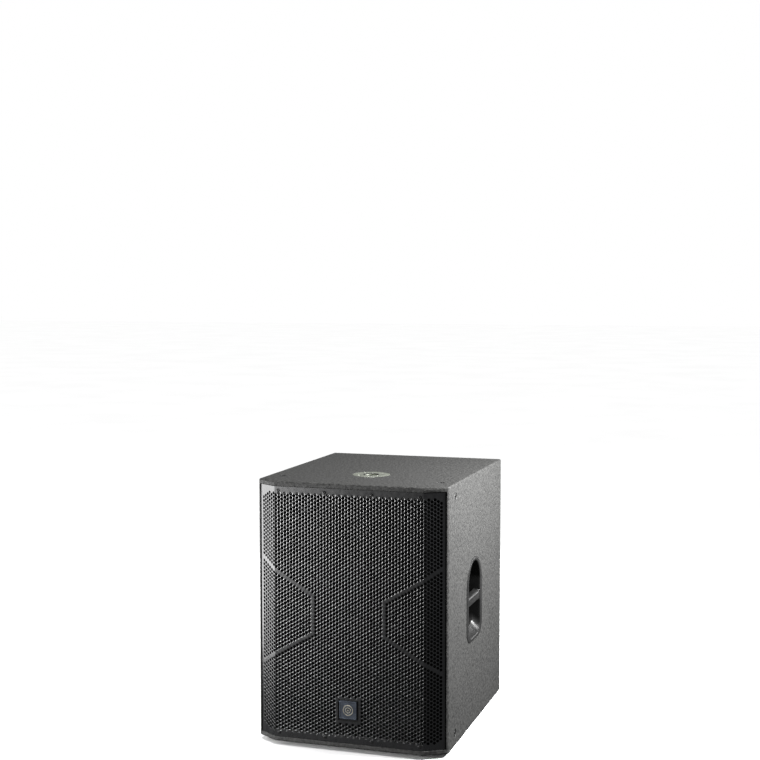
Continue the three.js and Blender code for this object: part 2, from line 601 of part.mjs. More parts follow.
add('amp_board', box([-125, 125], [262, 263.6], [160, 345]), circuitGreen);
add('toroidal_transformer', turned(ring(18, 54, 212, 256), 'rear', [-66, 0, 450], 24), copper);
const { halfWidth: coverX, bottomZ: coverLow, topZ: coverHigh, frontY: coverY, wall: coverWall } = ampCover;
add('amp_cover', cut(
  box([-coverX, coverX], [coverY, rear.outerY], [coverLow, coverHigh]),
  box([-coverX + coverWall, coverX - coverWall], [coverY + coverWall, backY],
    [coverLow + coverWall, coverHigh - coverWall])), sheetSteel);

// The speaker cable, clipped along its way from the amplifier cover to the woofer's terminal.
function speakerCable() {
  const route = new THREE.CatmullRomCurve3([
    [57.5, -99.2, 343.4], [57.5, -70, 343.4], [60, -30, 330], [62, 30, 305], [62, 90, 298], [60, 150, 304],
    [60, 180, 308], [60, 199.6, 308],
  ].map((point) => new THREE.Vector3(...point)));
  const section = new THREE.Shape();
  section.absarc(0, 0, 3.5, 0, 2 * Math.PI);
  return new THREE.ExtrudeGeometry(section, {
    extrudePath: route, steps: 24, curveSegments: 4, bevelEnabled: false,
  });
}
add('speaker_cable', speakerCable(), rubber);

export default speaker;
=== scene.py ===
"""An 18 inch PA subwoofer in a painted plywood cabinet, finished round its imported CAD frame.

Shapes are written in millimetres in the row frame (front to -Y, +Z up) and become metres in piece().
"""

from math import atan, cos, hypot, pi, radians, sin, tan

import bmesh
import bpy
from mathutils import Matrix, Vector, noise
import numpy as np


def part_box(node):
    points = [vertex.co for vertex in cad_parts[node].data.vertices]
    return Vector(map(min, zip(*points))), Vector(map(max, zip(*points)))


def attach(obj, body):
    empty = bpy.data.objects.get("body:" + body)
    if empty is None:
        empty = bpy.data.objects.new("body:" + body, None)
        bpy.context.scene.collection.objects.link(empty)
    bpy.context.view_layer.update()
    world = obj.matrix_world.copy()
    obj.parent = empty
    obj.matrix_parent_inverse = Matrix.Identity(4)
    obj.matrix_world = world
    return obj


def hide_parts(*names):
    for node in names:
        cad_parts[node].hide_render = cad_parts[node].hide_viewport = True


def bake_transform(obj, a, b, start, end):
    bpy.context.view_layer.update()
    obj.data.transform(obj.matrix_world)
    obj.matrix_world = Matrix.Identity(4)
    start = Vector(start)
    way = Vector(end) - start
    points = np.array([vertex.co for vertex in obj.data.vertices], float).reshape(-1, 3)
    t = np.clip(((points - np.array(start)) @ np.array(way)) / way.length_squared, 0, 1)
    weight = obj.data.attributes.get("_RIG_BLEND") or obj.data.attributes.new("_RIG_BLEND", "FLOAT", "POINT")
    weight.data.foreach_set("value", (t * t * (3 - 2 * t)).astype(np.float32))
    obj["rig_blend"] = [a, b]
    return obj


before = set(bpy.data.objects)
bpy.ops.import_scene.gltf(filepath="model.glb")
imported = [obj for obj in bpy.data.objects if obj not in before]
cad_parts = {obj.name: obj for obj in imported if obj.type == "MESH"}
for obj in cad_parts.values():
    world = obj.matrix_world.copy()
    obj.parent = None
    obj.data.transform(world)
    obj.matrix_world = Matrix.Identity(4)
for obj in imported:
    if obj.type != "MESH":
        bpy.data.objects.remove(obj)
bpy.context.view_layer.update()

MM = 0.001


def span(node):
    """Lowest and highest corner of a CAD node, in millimetres."""
    low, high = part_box(node)
    return low / MM, high / MM


def middle(node):
    low, high = span(node)
    return (low + high) / 2


# ---------- sizes that the frame gives ----------
TOP_LOW, TOP_HIGH = span("top_panel")
FRONT_Y, BACK_Y, TOP_Z = TOP_LOW.y, TOP_HIGH.y, TOP_HIGH.z
HALF_WIDTH = TOP_HIGH.x
BOTTOM_Z = span("bottom_panel")[0].z
INNER_TOP_Z = TOP_LOW.z
INNER_BOTTOM_Z = span("bottom_panel")[1].z
INNER_X = span("side_panel_right")[0].x
GRILLE_LOW, GRILLE_HIGH = span("front_grille")
FOAM_LOW, FOAM_HIGH = span("grille_foam")
AMP_FACE_Y = span("amp_panel")[1].y

# ---------- sizes of the finish, in millimetres ----------
BEVEL_WIDTH, BEVEL_DEPTH = 57, 35
BEVEL_SLOPE = BEVEL_DEPTH / BEVEL_WIDTH
BEVEL_ANGLE = atan(BEVEL_SLOPE)
EDGE_RADIUS = 4.5
THROUGH = HALF_WIDTH - INNER_X + 2       # deep enough to cut through a panel
SEAT = {"half": 254.5, "low": BOTTOM_Z + 12.3, "high": TOP_Z - 12.5, "back_y": -256}

SHEET = 1.5                # the grille's thickness
HOLE_COLUMNS = 30          # to each side of the middle
COLUMNS_BEFORE_FOLD = 24
ROW_PITCH = 9.944
TOP_ROW = 63               # half pitches from the middle row to the top one
HOLES_RAISED = 0.15        # the middle row above the middle of the sheet
HOLE_RADIUS = 4.0
HOLE_SIDES = 12
SHOULDER_RADIUS = 4.85     # each hole's edge is pressed in from this radius, as a punch leaves it
SHOULDER_DROP = 0.3
ZIGZAG = 1.35              # how far the lines between the holes lean to and fro, to leave hexagons
BAND_COLUMN = 11           # the unpierced band's upright
BAND_HALF = 9              # half the height of that upright, in half pitches
BADGE_GAP = 0.4            # between the badge's tray and the hole in the grille
BADGE_MARGIN = 2           # least flat sheet round that hole

# The handle's outlines: width, height, radius of the arched top's corners and of the lower corners.
HANDLE_FLANGE = (171, 227, 82, 42)
HANDLE_MOUTH = (129, 207, 62, 34)
HANDLE_POCKET = (129, 168, 28, 28)
# How deep its sloped ends, its pocket's floor and its back lie.
HANDLE_SLOPE, HANDLE_FLOOR, HANDLE_BACK = 22, 59, 62
# The grip bar: lowest and highest point from the handle's centre, thickness, and depth of its middle.
BAR_LOW, BAR_HIGH, BAR_THICK, BAR_DEPTH = -18, 10, 22, 13.5

ROUND = 48                 # points on most outlines, a multiple of 4 and of 6
CUT_ROUND = 60             # points on the round openings in the cabinet


# ---------- outlines: lists of (u, v) points, anticlockwise ----------
def circle(radius, count=ROUND):
    return [(radius * cos(2 * pi * i / count), radius * sin(2 * pi * i / count)) for i in range(count)]


def hexagon(radius, count=ROUND):
    """A hexagon with the given radius over its corners, with points at even angles."""
    points = []
    for i in range(count):
        angle = 2 * pi * i / count
        reach = radius * cos(pi / 6) / cos(angle % (pi / 3) - pi / 6)
        points.append((reach * cos(angle), reach * sin(angle)))
    return points


def fluted(radius, lobes, depth, count=ROUND * 3):
    """A circle with shallow grip grooves."""
    points = []
    for i in range(count):
        angle = 2 * pi * i / count
        reach = radius - depth * (0.5 - 0.5 * cos(lobes * angle)) ** 3
        points.append((reach * cos(angle), reach * sin(angle)))
    return points


def rounded(width, height, corner, count=ROUND, low_corner=None):
    """A rectangle with round corners, whose lower two may have a radius of their own."""
    steps = count // 4 - 1
    points = []
    for quarter, (su, sv) in enumerate(((1, 1), (-1, 1), (-1, -1), (1, -1))):
        radius = corner if low_corner is None or sv > 0 else low_corner
        cu, cv = su * (width / 2 - radius), sv * (height / 2 - radius)
        for i in range(steps + 1):
            angle = (quarter + i / steps) * pi / 2
            points.append((cu + radius * cos(angle), cv + radius * sin(angle)))
    return points


def handle_outline(size, grow=0.0):
    """One of the handle's outlines, grown by the same amount all round."""
    width, height, corner, low_corner = size
    return rounded(width + 2 * grow, height + 2 * grow, corner + grow, ROUND, low_corner + grow)


def moved(points, du, dv):
    return [(u + du, v + dv) for u, v in points]


def rounds(*pairs, count=ROUND):
    """Steps of a stack: circles from (radius, depth) pairs."""
    return [(circle(radius, count), depth) for radius, depth in pairs]


def hexagons(*pairs):
    """Steps of a stack: hexagons from (radius, depth) pairs."""
    return [(hexagon(radius), depth) for radius, depth in pairs]


# ---------- shapes: vertices in millimetres and faces ----------
FACINGS = {
    "up": ((1, 0, 0), (0, 1, 0), (0, 0, 1)),
    "down": ((1, 0, 0), (0, -1, 0), (0, 0, -1)),
    "front": ((1, 0, 0), (0, 0, 1), (0, -1, 0)),
    "rear": ((-1, 0, 0), (0, 0, 1), (0, 1, 0)),
    "right": ((0, 1, 0), (0, 0, 1), (1, 0, 0)),
    "left": ((0, -1, 0), (0, 0, 1), (-1, 0, 0)),
}


def placed(points, facing, centre, depth):
    """Outline points put depth in front of a centre, on the plane that faces one way."""
    u_axis, v_axis, normal = FACINGS[facing]
    return [
        tuple(centre[k] + u_axis[k] * u + v_axis[k] * v + normal[k] * depth for k in range(3))
        for u, v in points
    ]


class Shape:
    """Vertices and faces, which add up."""

    def __init__(self, verts=(), faces=()):
        self.verts = list(verts)
        self.faces = [list(face) for face in faces]

    def __add__(self, other):
        shift = len(self.verts)
        return Shape(self.verts + other.verts,
                     self.faces + [[i + shift for i in face] for face in other.faces])


def together(shapes):
    return sum(shapes, Shape())


def loft(rings, looped=False):
    """A skin through rings of equal point count, capped at both ends or joined end to end."""
    count = len(rings[0])
    pairs = [(a, a + 1) for a in range(len(rings) - 1)]
    if looped:
        pairs.append((len(rings) - 1, 0))
    faces = [
        [a * count + i, a * count + (i + 1) % count, b * count + (i + 1) % count, b * count + i]
        for a, b in pairs for i in range(count)
    ]
    if not looped:
        last = (len(rings) - 1) * count
        faces += [list(range(count))[::-1], [last + i for i in range(count)]]
    return Shape([point for ring in rings for point in ring], faces)


def stack(facing, centre, *steps, looped=False):
    """A closed solid of (outline, depth) steps along the way that it faces."""
    return loft([placed(outline, facing, centre, depth) for outline, depth in steps], looped)


def turned(facing, centre, profile, count=96):
    """A closed profile of (radius, depth) points turned about the axis that it faces along."""
    return stack(facing, centre, *[(circle(r, count), depth) for r, depth in profile], looped=True)


def roundover(radius, steps=4):
    """(inset, drop) pairs from a side face round its edge to the front face."""
    quarter = [pi / 2 * i / steps for i in range(steps + 1)]
    return [(radius * (1 - cos(a)), radius * (1 - sin(a))) for a in quarter]


# ---------- pieces ----------
def build_mesh(name, shape):
    """A Blender mesh in metres, welded, with its faces turned outwards."""
    bm = bmesh.new()
    verts = [bm.verts.new([c * MM for c in vert]) for vert in shape.verts]
    for face in shape.faces:
        bm.faces.new([verts[i] for i in face])
    bmesh.ops.remove_doubles(bm, verts=bm.verts, dist=1e-6)
    bmesh.ops.dissolve_degenerate(bm, dist=1e-6, edges=bm.edges)
    bmesh.ops.recalc_face_normals(bm, faces=bm.faces)
    mesh = bpy.data.meshes.new(name)
    bm.to_mesh(mesh)
    bm.free()
    return mesh


def place_object(name, mesh):
    obj = bpy.data.objects.new(name, mesh)
    bpy.context.scene.collection.objects.link(obj)
    return obj


def bake_modifiers(obj):
    """Turns the object's modifiers into its mesh."""
    bpy.context.view_layer.update()
    depsgraph = bpy.context.evaluated_depsgraph_get()
    mesh = bpy.data.meshes.new_from_object(obj.evaluated_get(depsgraph))
    obj.modifiers.clear()
    obj.data = mesh


def cut(obj, shape):
    """Cuts closed shapes out of a piece."""
    tool = place_object("cutter", build_mesh("cutter", shape))
    modifier = obj.modifiers.new("cut", "BOOLEAN")
    modifier.operation = "DIFFERENCE"
    modifier.solver = "EXACT"
    modifier.object = tool
    bake_modifiers(obj)
    bpy.data.objects.remove(tool)


def smooth(obj, crease=30):
    """Smooth shading with sharp edges kept where faces turn by more than the crease angle."""
    for polygon in obj.data.polygons:
        polygon.use_smooth = True
    obj.data.set_sharp_from_angle(angle=radians(crease))
    normals = obj.modifiers.new("normals", "WEIGHTED_NORMAL")
    normals.keep_sharp = True


def settle(obj, material, replaces=(), body="cabinet", crease=30):
    """Gives a piece its finish, its shading, its body and the CAD nodes that it stands for."""
    obj.data.materials.clear()
    obj.data.materials.append(material)
    smooth(obj, crease)
    if body:
        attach(obj, body)
    if replaces:
        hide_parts(*replaces)
    return obj


def piece(name, shape, material, replaces=(), body="cabinet", crease=30):
    obj = place_object(name, build_mesh(name, shape))
    return settle(obj, material, replaces, body, crease)


# ---------- procedural finishes ----------
class Nodes:
    """Adds nodes to a new material and links them."""

    def __init__(self, name):
        self.material = bpy.data.materials.new(name)
        self.material.use_nodes = True
        self.tree = self.material.node_tree
        self.shader = self.tree.nodes["Principled BSDF"]
        self.place = self.add("ShaderNodeTexCoord").outputs["Object"]

    def add(self, kind, **inputs):
        node = self.tree.nodes.new(kind)
        for key, value in inputs.items():
            node.inputs[key.replace("_", " ")].default_value = value
        return node

    def link(self, output, socket):
        self.tree.links.new(output, socket)

    def noise(self, size, detail=4.0, rough=0.6):
        """Noise whose features are about size millimetres across."""
        node = self.add("ShaderNodeTexNoise", Scale=1 / (size * MM), Detail=detail, Roughness=rough)
        self.link(self.place, node.inputs["Vector"])
        return node.outputs["Fac"]

    def cells(self, size):
        """Rounded cells about size millimetres across."""
        node = self.add("ShaderNodeTexVoronoi", Scale=1 / (size * MM))
        node.feature = "SMOOTH_F1"
        self.link(self.place, node.inputs["Vector"])
        return node.outputs["Distance"]

    def weave(self, size, axis):
        """Fine parallel lines size millimetres apart, broken by noise."""
        node = self.add("ShaderNodeTexWave", Scale=0.3 / (size * MM), Distortion=1.5)
        node.bands_direction = axis
        self.link(self.place, node.inputs["Vector"])
        return node.outputs["Fac"]

    def spread(self, value, low, high):
        """A 0 to 1 value stretched from its middle part to low and high."""
        node = self.add("ShaderNodeMapRange", From_Min=0.3, From_Max=0.7, To_Min=low, To_Max=high)
        self.link(value, node.inputs["Value"])
        return node.outputs["Result"]

    def blend(self, value, first, second):
        """Colours or outputs mixed by a 0 to 1 value."""
        node = self.tree.nodes.new("ShaderNodeMix")
        node.data_type = "RGBA"
        self.link(self.spread(value, 0, 1), node.inputs["Factor"])
        for socket, colour in ((node.inputs["A"], first), (node.inputs["B"], second)):
            if isinstance(colour, tuple):
                socket.default_value = (*colour, 1)
            else:
                self.link(colour, socket)
        return node.outputs["Result"]

    def relief(self, height, depth, before=None):
        """Bump depth millimetres deep, on top of the bump before it."""
        node = self.add("ShaderNodeBump", Distance=depth * MM, Strength=1.0)
        self.link(height, node.inputs["Height"])
        if before:
            self.link(before, node.inputs["Normal"])
        return node.outputs["Normal"]


def grey(value, tint=(1, 1, 1)):
    return tuple(value * t for t in tint)


def finish(name, tones, rough, grain=(), tone_size=30, rough_size=12, metallic=0.0, grain_tone_and_glint=None,
           **sockets):
    """Two tones mixed by noise, roughness that wanders, and relief in layers of (kind, size, depth).

    A third, lighter tone may be mixed in as (size, colour): partly the finish's own mottle, partly painted
    highlight that stands in for light glinting off its grain. Other shader sockets are set by name.
    """
    nodes = Nodes(name)
    colour = nodes.blend(nodes.noise(tone_size), *tones)
    # The lighter third tone is partly random mottle and partly a painted highlight speckle, standing in for
    # light caught by the grain.
    if grain_tone_and_glint:
        size, light = grain_tone_and_glint
        colour = nodes.blend(nodes.noise(size, detail=2.0), colour, light)
    nodes.link(colour, nodes.shader.inputs["Base Color"])
    nodes.link(nodes.spread(nodes.noise(rough_size), *rough), nodes.shader.inputs["Roughness"])
    nodes.shader.inputs["Metallic"].default_value = metallic
    for key, value in sockets.items():
        nodes.shader.inputs[key.replace("_", " ")].default_value = value
    normal = None
    for kind, size, depth in grain:
        height = {"cells": nodes.cells, "noise": nodes.noise}[kind](size)
        normal = nodes.relief(height, depth, normal)
    if normal:
        nodes.link(normal, nodes.shader.inputs["Normal"])
    return nodes.material


def plywood_finish():
    """Birch veneer: long figure along X, with glue lines in the depth."""
    nodes = Nodes("birch_plywood")
    stretch = nodes.add("ShaderNodeMapping", Scale=(0.12, 1.0, 1.0))
    nodes.link(nodes.place, stretch.inputs["Vector"])
    nodes.place = stretch.outputs["Vector"]
    figure = nodes.blend(nodes.noise(5, detail=6.0), (0.36, 0.24, 0.13), (0.52, 0.38, 0.23))
    nodes.link(figure, nodes.shader.inputs["Base Color"])
    nodes.link(nodes.spread(nodes.noise(3), 0.55, 0.75), nodes.shader.inputs["Roughness"])
    nodes.link(nodes.relief(nodes.noise(1.2), 0.08), nodes.shader.inputs["Normal"])
    return nodes.material


def brushed_finish(name, tones, axis):
    """Bare metal with fine tool lines."""
    nodes = Nodes(name)
    nodes.link(nodes.blend(nodes.noise(14), *tones), nodes.shader.inputs["Base Color"])
    nodes.link(nodes.spread(nodes.noise(4), 0.3, 0.45), nodes.shader.inputs["Roughness"])
    nodes.link(nodes.relief(nodes.weave(0.5, axis), 0.01), nodes.shader.inputs["Normal"])
    nodes.shader.inputs["Metallic"].default_value = 1.0
    return nodes.material


def all_finishes():
    """One finish for each of the record's material slots, and a few for small details."""
    return {
        "cabinet_paint": finish(
            "textured_paint", (grey(0.009), grey(0.016)), (0.5, 0.75),
            (("noise", 5, 0.8), ("cells", 3.2, 0.3)), tone_size=70, rough_size=8,
            # Lighter speckle in the paint's colour: partly its own mottle, partly painted highlight where light
            # would glint off the grain.
            grain_tone_and_glint=(7, grey(0.062, (1, 1, 0.97))), Specular_IOR_Level=0.3),
        "plywood": plywood_finish(),
        "grille_steel": finish(
            "powder_coat", (grey(0.003, (0.92, 0.97, 1.14)), grey(0.005, (0.92, 0.97, 1.14))), (0.25, 0.32),
            (("noise", 0.7, 0.03),), tone_size=90, Specular_IOR_Level=1.0),
        "screw_steel": finish(
            "black_zinc", (grey(0.02), grey(0.045)), (0.3, 0.45), (("noise", 0.6, 0.02),),
            tone_size=3, metallic=0.7),
        "foam": finish(
            "open_cell_foam", (grey(0.002), grey(0.004)), (0.95, 1.0), (("cells", 1.3, 0.6),), tone_size=9,
            Specular_IOR_Level=0.1),
        "badge_metal": finish(
            "badge_plate", (grey(0.07, (0.82, 0.95, 1.2)), grey(0.12, (0.82, 0.95, 1.2))), (0.28, 0.42),
            (("noise", 0.5, 0.01),), tone_size=14, metallic=0.75),
        "emblem_metal": finish(
            "emblem_metal", ((0.5, 0.47, 0.38), (0.68, 0.64, 0.54)), (0.25, 0.38),
            (("noise", 0.5, 0.01),), tone_size=5, metallic=0.9),
        "socket_metal": finish(
            "cast_socket", ((0.3, 0.32, 0.27), (0.46, 0.48, 0.42)), (0.32, 0.5),
            (("noise", 0.9, 0.03),), tone_size=8, metallic=0.85),
        "plastic": finish(
            "moulded_plastic", (grey(0.01), grey(0.018)), (0.28, 0.38),
            (("noise", 0.8, 0.03),), tone_size=40, Specular_IOR_Level=0.25),
        "rubber": finish(
            "matt_rubber", (grey(0.012), grey(0.022)), (0.72, 0.88), (("noise", 0.9, 0.05),), tone_size=6),
        "cone_paper": finish(
            "cone_paper", (grey(0.016), grey(0.032)), (0.75, 0.92), (("noise", 2.2, 0.22),), tone_size=4),
        "basket": finish(
            "basket_paint", (grey(0.03), grey(0.05)), (0.45, 0.6), (("noise", 1.4, 0.06),), metallic=0.3),
        "motor_steel": brushed_finish("zinc_steel", (grey(0.4), grey(0.56, (1, 0.99, 0.96))), "Z"),
        "ferrite": finish(
            "ferrite", (grey(0.035), grey(0.06)), (0.6, 0.75), (("noise", 1.6, 0.08),), tone_size=12),
        "coil_copper": finish(
            "copper_winding", ((0.42, 0.2, 0.08), (0.6, 0.32, 0.15)), (0.3, 0.42),
            (("noise", 0.8, 0.05),), tone_size=3, metallic=0.9),
        "suspension_cloth": finish(
            "resin_cloth", ((0.24, 0.14, 0.05), (0.36, 0.23, 0.1)), (0.7, 0.85),
            (("cells", 0.9, 0.12),), tone_size=5),
        "amp_black": finish(
            "anodised_black", (grey(0.02), grey(0.032)), (0.38, 0.5), (("noise", 0.6, 0.025),),
            tone_size=25, metallic=0.35),
        "sheet_metal": brushed_finish("zinc_sheet", (grey(0.48), grey(0.62, (0.98, 1, 1.02))), "X"),
        "circuit": finish(
            "circuit_board", ((0.01, 0.07, 0.03), (0.025, 0.16, 0.06)), (0.3, 0.4),
            (("cells", 2.5, 0.05),), tone_size=2.5),
        "knob_plastic": finish(
            "soft_knob", (grey(0.022), grey(0.038)), (0.5, 0.62), (("noise", 0.5, 0.03),), tone_size=5),
        "lens": finish(
            "status_lens", ((0.03, 0.3, 0.08), (0.08, 0.5, 0.18)), (0.1, 0.2), (("noise", 1.0, 0.01),),
            tone_size=2, Transmission_Weight=0.4),
        "print": finish(
            "white_print", (grey(0.55), grey(0.7)), (0.5, 0.6), (("noise", 0.4, 0.01),), tone_size=3),
    }


FINISH = all_finishes()


# ---------- cabinet ----------
def fold_x(inset):
    """X of the fold on a sheet that lies inset behind the cabinet's front faces."""
    return HALF_WIDTH - BEVEL_WIDTH - inset * tan(BEVEL_ANGLE / 2)


def front_y(x, inset):
    return FRONT_Y + inset + max(0, abs(x) - fold_x(inset)) * BEVEL_SLOPE


def cabinet_ring(half, low, high, corner, inset=None, y=None, steps=5):
    """A rectangle seen from the front with a point at each fold: at depth y, or inset from the front."""
    half_fold = fold_x(inset or 0)
    points = []
    for quarter, (sx, sz) in enumerate(((1, 1), (-1, 1), (-1, -1), (1, -1))):
        cx = sx * (half - corner)
        cz = high - corner if sz > 0 else low + corner
        for i in range(steps + 1):
            angle = (quarter + i / steps) * pi / 2
            points.append((cx + corner * cos(angle), cz + corner * sin(angle)))
        if quarter in (0, 2):
            edge_z = high if sz > 0 else low
            points += [(sx * half_fold, edge_z), (-sx * half_fold, edge_z)]
    return [(x, front_y(x, inset) if y is None else y, z) for x, z in points]


def cabinet_tube():
    """The cabinet without its openings: outside, front lips, the grille's seat, and the inside."""
    rings = []
    for inset, drop in reversed(roundover(EDGE_RADIUS)):
        rings.append(cabinet_ring(HALF_WIDTH - inset, BOTTOM_Z + inset, TOP_Z - inset,
                                  EDGE_RADIUS - inset, y=BACK_Y - drop))
    for inset, drop in roundover(EDGE_RADIUS):
        rings.append(cabinet_ring(HALF_WIDTH - inset, BOTTOM_Z + inset, TOP_Z - inset,
                                  EDGE_RADIUS - inset, inset=drop))
    for inset, drop in reversed(roundover(0.8, 2)):
        rings.append(cabinet_ring(SEAT["half"] + inset, SEAT["low"] - inset, SEAT["high"] + inset,
                                  1 + inset, inset=drop))
    rings.append(cabinet_ring(SEAT["half"], SEAT["low"], SEAT["high"], 1, y=SEAT["back_y"]))
    inner = (INNER_X, INNER_BOTTOM_Z, INNER_TOP_Z, 0.5)
    rings.append(cabinet_ring(*inner, y=SEAT["back_y"]))
    rings.append(cabinet_ring(*inner, y=BACK_Y - 1))
    rings.append(cabinet_ring(INNER_X + 1, INNER_BOTTOM_Z - 1, INNER_TOP_Z + 1, 1.5, y=BACK_Y))
    return loft(rings, looped=True)


def opening(outline, depth, flare=0.7):
    """Steps of a cutter whose mouth flares, so that the edge is eased. outline(grow) gives its size."""
    return [(outline(0), -depth), (outline(0), -flare), (outline(flare), 0), (outline(flare * 4), flare * 3)]


def disc_opening(radius, depth, flare=0.7):
    return opening(lambda grow: circle(radius + grow, CUT_ROUND), depth, flare)


def handle_opening():
    """The hole for the handle's cup, and the rebate round it for the flange."""
    wall, clearance, rebate = 4, 0.7, 3.2
    cup = handle_outline(HANDLE_MOUTH, wall)
    seat = opening(lambda grow: handle_outline(HANDLE_FLANGE, clearance + grow), rebate, 0.5)
    return [(cup, -THROUGH), (cup, -rebate), *seat]


def pole_opening():
    """The hole for the pole socket's tube, and the rebate round it for the flange."""
    tube, flange, rebate = 21.4, 51.5, 3.3
    return [*rounds((tube, -THROUGH), (tube, -rebate), count=CUT_ROUND), *disc_opening(flange, rebate, 0.5)]


def side_point(facing, node):
    """The middle of a node on the cabinet's face, for a node let into that face."""
    at = middle(node)
    if facing == "up":
        return (at.x, at.y, TOP_Z)
    return (HALF_WIDTH if facing == "right" else -HALF_WIDTH, at.y, at.z)


PLUG_HOLE = 10.4
PLUGS = {
    "rigging_plug_top_left": "up", "rigging_plug_top_right": "up",
    "rigging_plug_left_upper": "left", "rigging_plug_left_lower": "left",
    "rigging_plug_right_upper": "right", "rigging_plug_right_lower": "right",
}


def make_cabinet():
    """The painted shell, with its openings for the plugs, the handles and the pole socket."""
    shell = place_object("cabinet_shell", build_mesh("cabinet_shell", cabinet_tube()))
    cutters = [stack(facing, side_point(facing, node), *disc_opening(PLUG_HOLE, THROUGH))
               for node, facing in PLUGS.items()]
    for side in ("left", "right"):
        cutters.append(stack(side, side_point(side, f"handle_{side}"), *handle_opening()))
    cutters.append(stack("up", side_point("up", "pole_socket"), *pole_opening()))
    cut(shell, together(cutters))
    settle(shell, FINISH["cabinet_paint"],
           ("top_panel", "bottom_panel", "side_panel_left", "side_panel_right"))


# ---------- perforated grille ----------
def grille_profile(edge_radius=3.0, steps=4):
    """(x, y) of the grille's upright lines on its right half: hole columns, the edge's bend, the flange."""
    inset = GRILLE_LOW.y - FRONT_Y
    fold = fold_x(inset)
    pitch = fold / COLUMNS_BEFORE_FOLD
    points = []
    for i in range(HOLE_COLUMNS + 1):
        past = max(0, i * pitch - fold)
        x = min(i * pitch, fold) + past * cos(BEVEL_ANGLE)
        points.append((x, GRILLE_LOW.y + past * sin(BEVEL_ANGLE)))
    turn = pi / 2 - BEVEL_ANGLE
    reach = edge_radius * tan(turn / 2)
    start_x = GRILLE_HIGH.x - reach * cos(BEVEL_ANGLE)
    start_y = front_y(GRILLE_HIGH.x, inset) - reach * sin(BEVEL_ANGLE)
    for i in range(steps + 1):
        angle = BEVEL_ANGLE + turn * i / steps
        points.append((start_x + edge_radius * (sin(angle) - sin(BEVEL_ANGLE)),
                       start_y - edge_radius * (cos(angle) - cos(BEVEL_ANGLE))))
    points.append((GRILLE_HIGH.x, GRILLE_HIGH.y))
    return points


def has_hole(column, row, side):
    """Whether the sheet is pierced at a column counted from the middle and a row in half pitches."""
    band = BAND_HALF + (column - BAND_COLUMN)
    in_band = column >= BAND_COLUMN and abs(abs(row) - band - (side < 0)) <= 0.5
    in_upright = column == BAND_COLUMN and abs(row) <= band + (side < 0)
    corner_cut = TOP_ROW - max(0, column - HOLE_COLUMNS + 3)
    return not in_band and not in_upright and abs(row) <= corner_cut


def reach_inside(outline, angle):
    """How far a line from the origin at an angle goes before it meets a polygon round the origin."""
    du, dv = cos(angle), sin(angle)
    best = SHOULDER_RADIUS * 2
    for (u0, v0), (u1, v1) in zip(outline, outline[1:] + outline[:1]):
        eu, ev = u1 - u0, v1 - v0
        across = du * ev - dv * eu
        if abs(across) < 1e-9:
            continue
        along = (u0 * ev - v0 * eu) / across
        share = (u0 * dv - v0 * du) / across
        if along > 0 and -1e-6 <= share <= 1 + 1e-6:
            best = min(best, along)
    return best


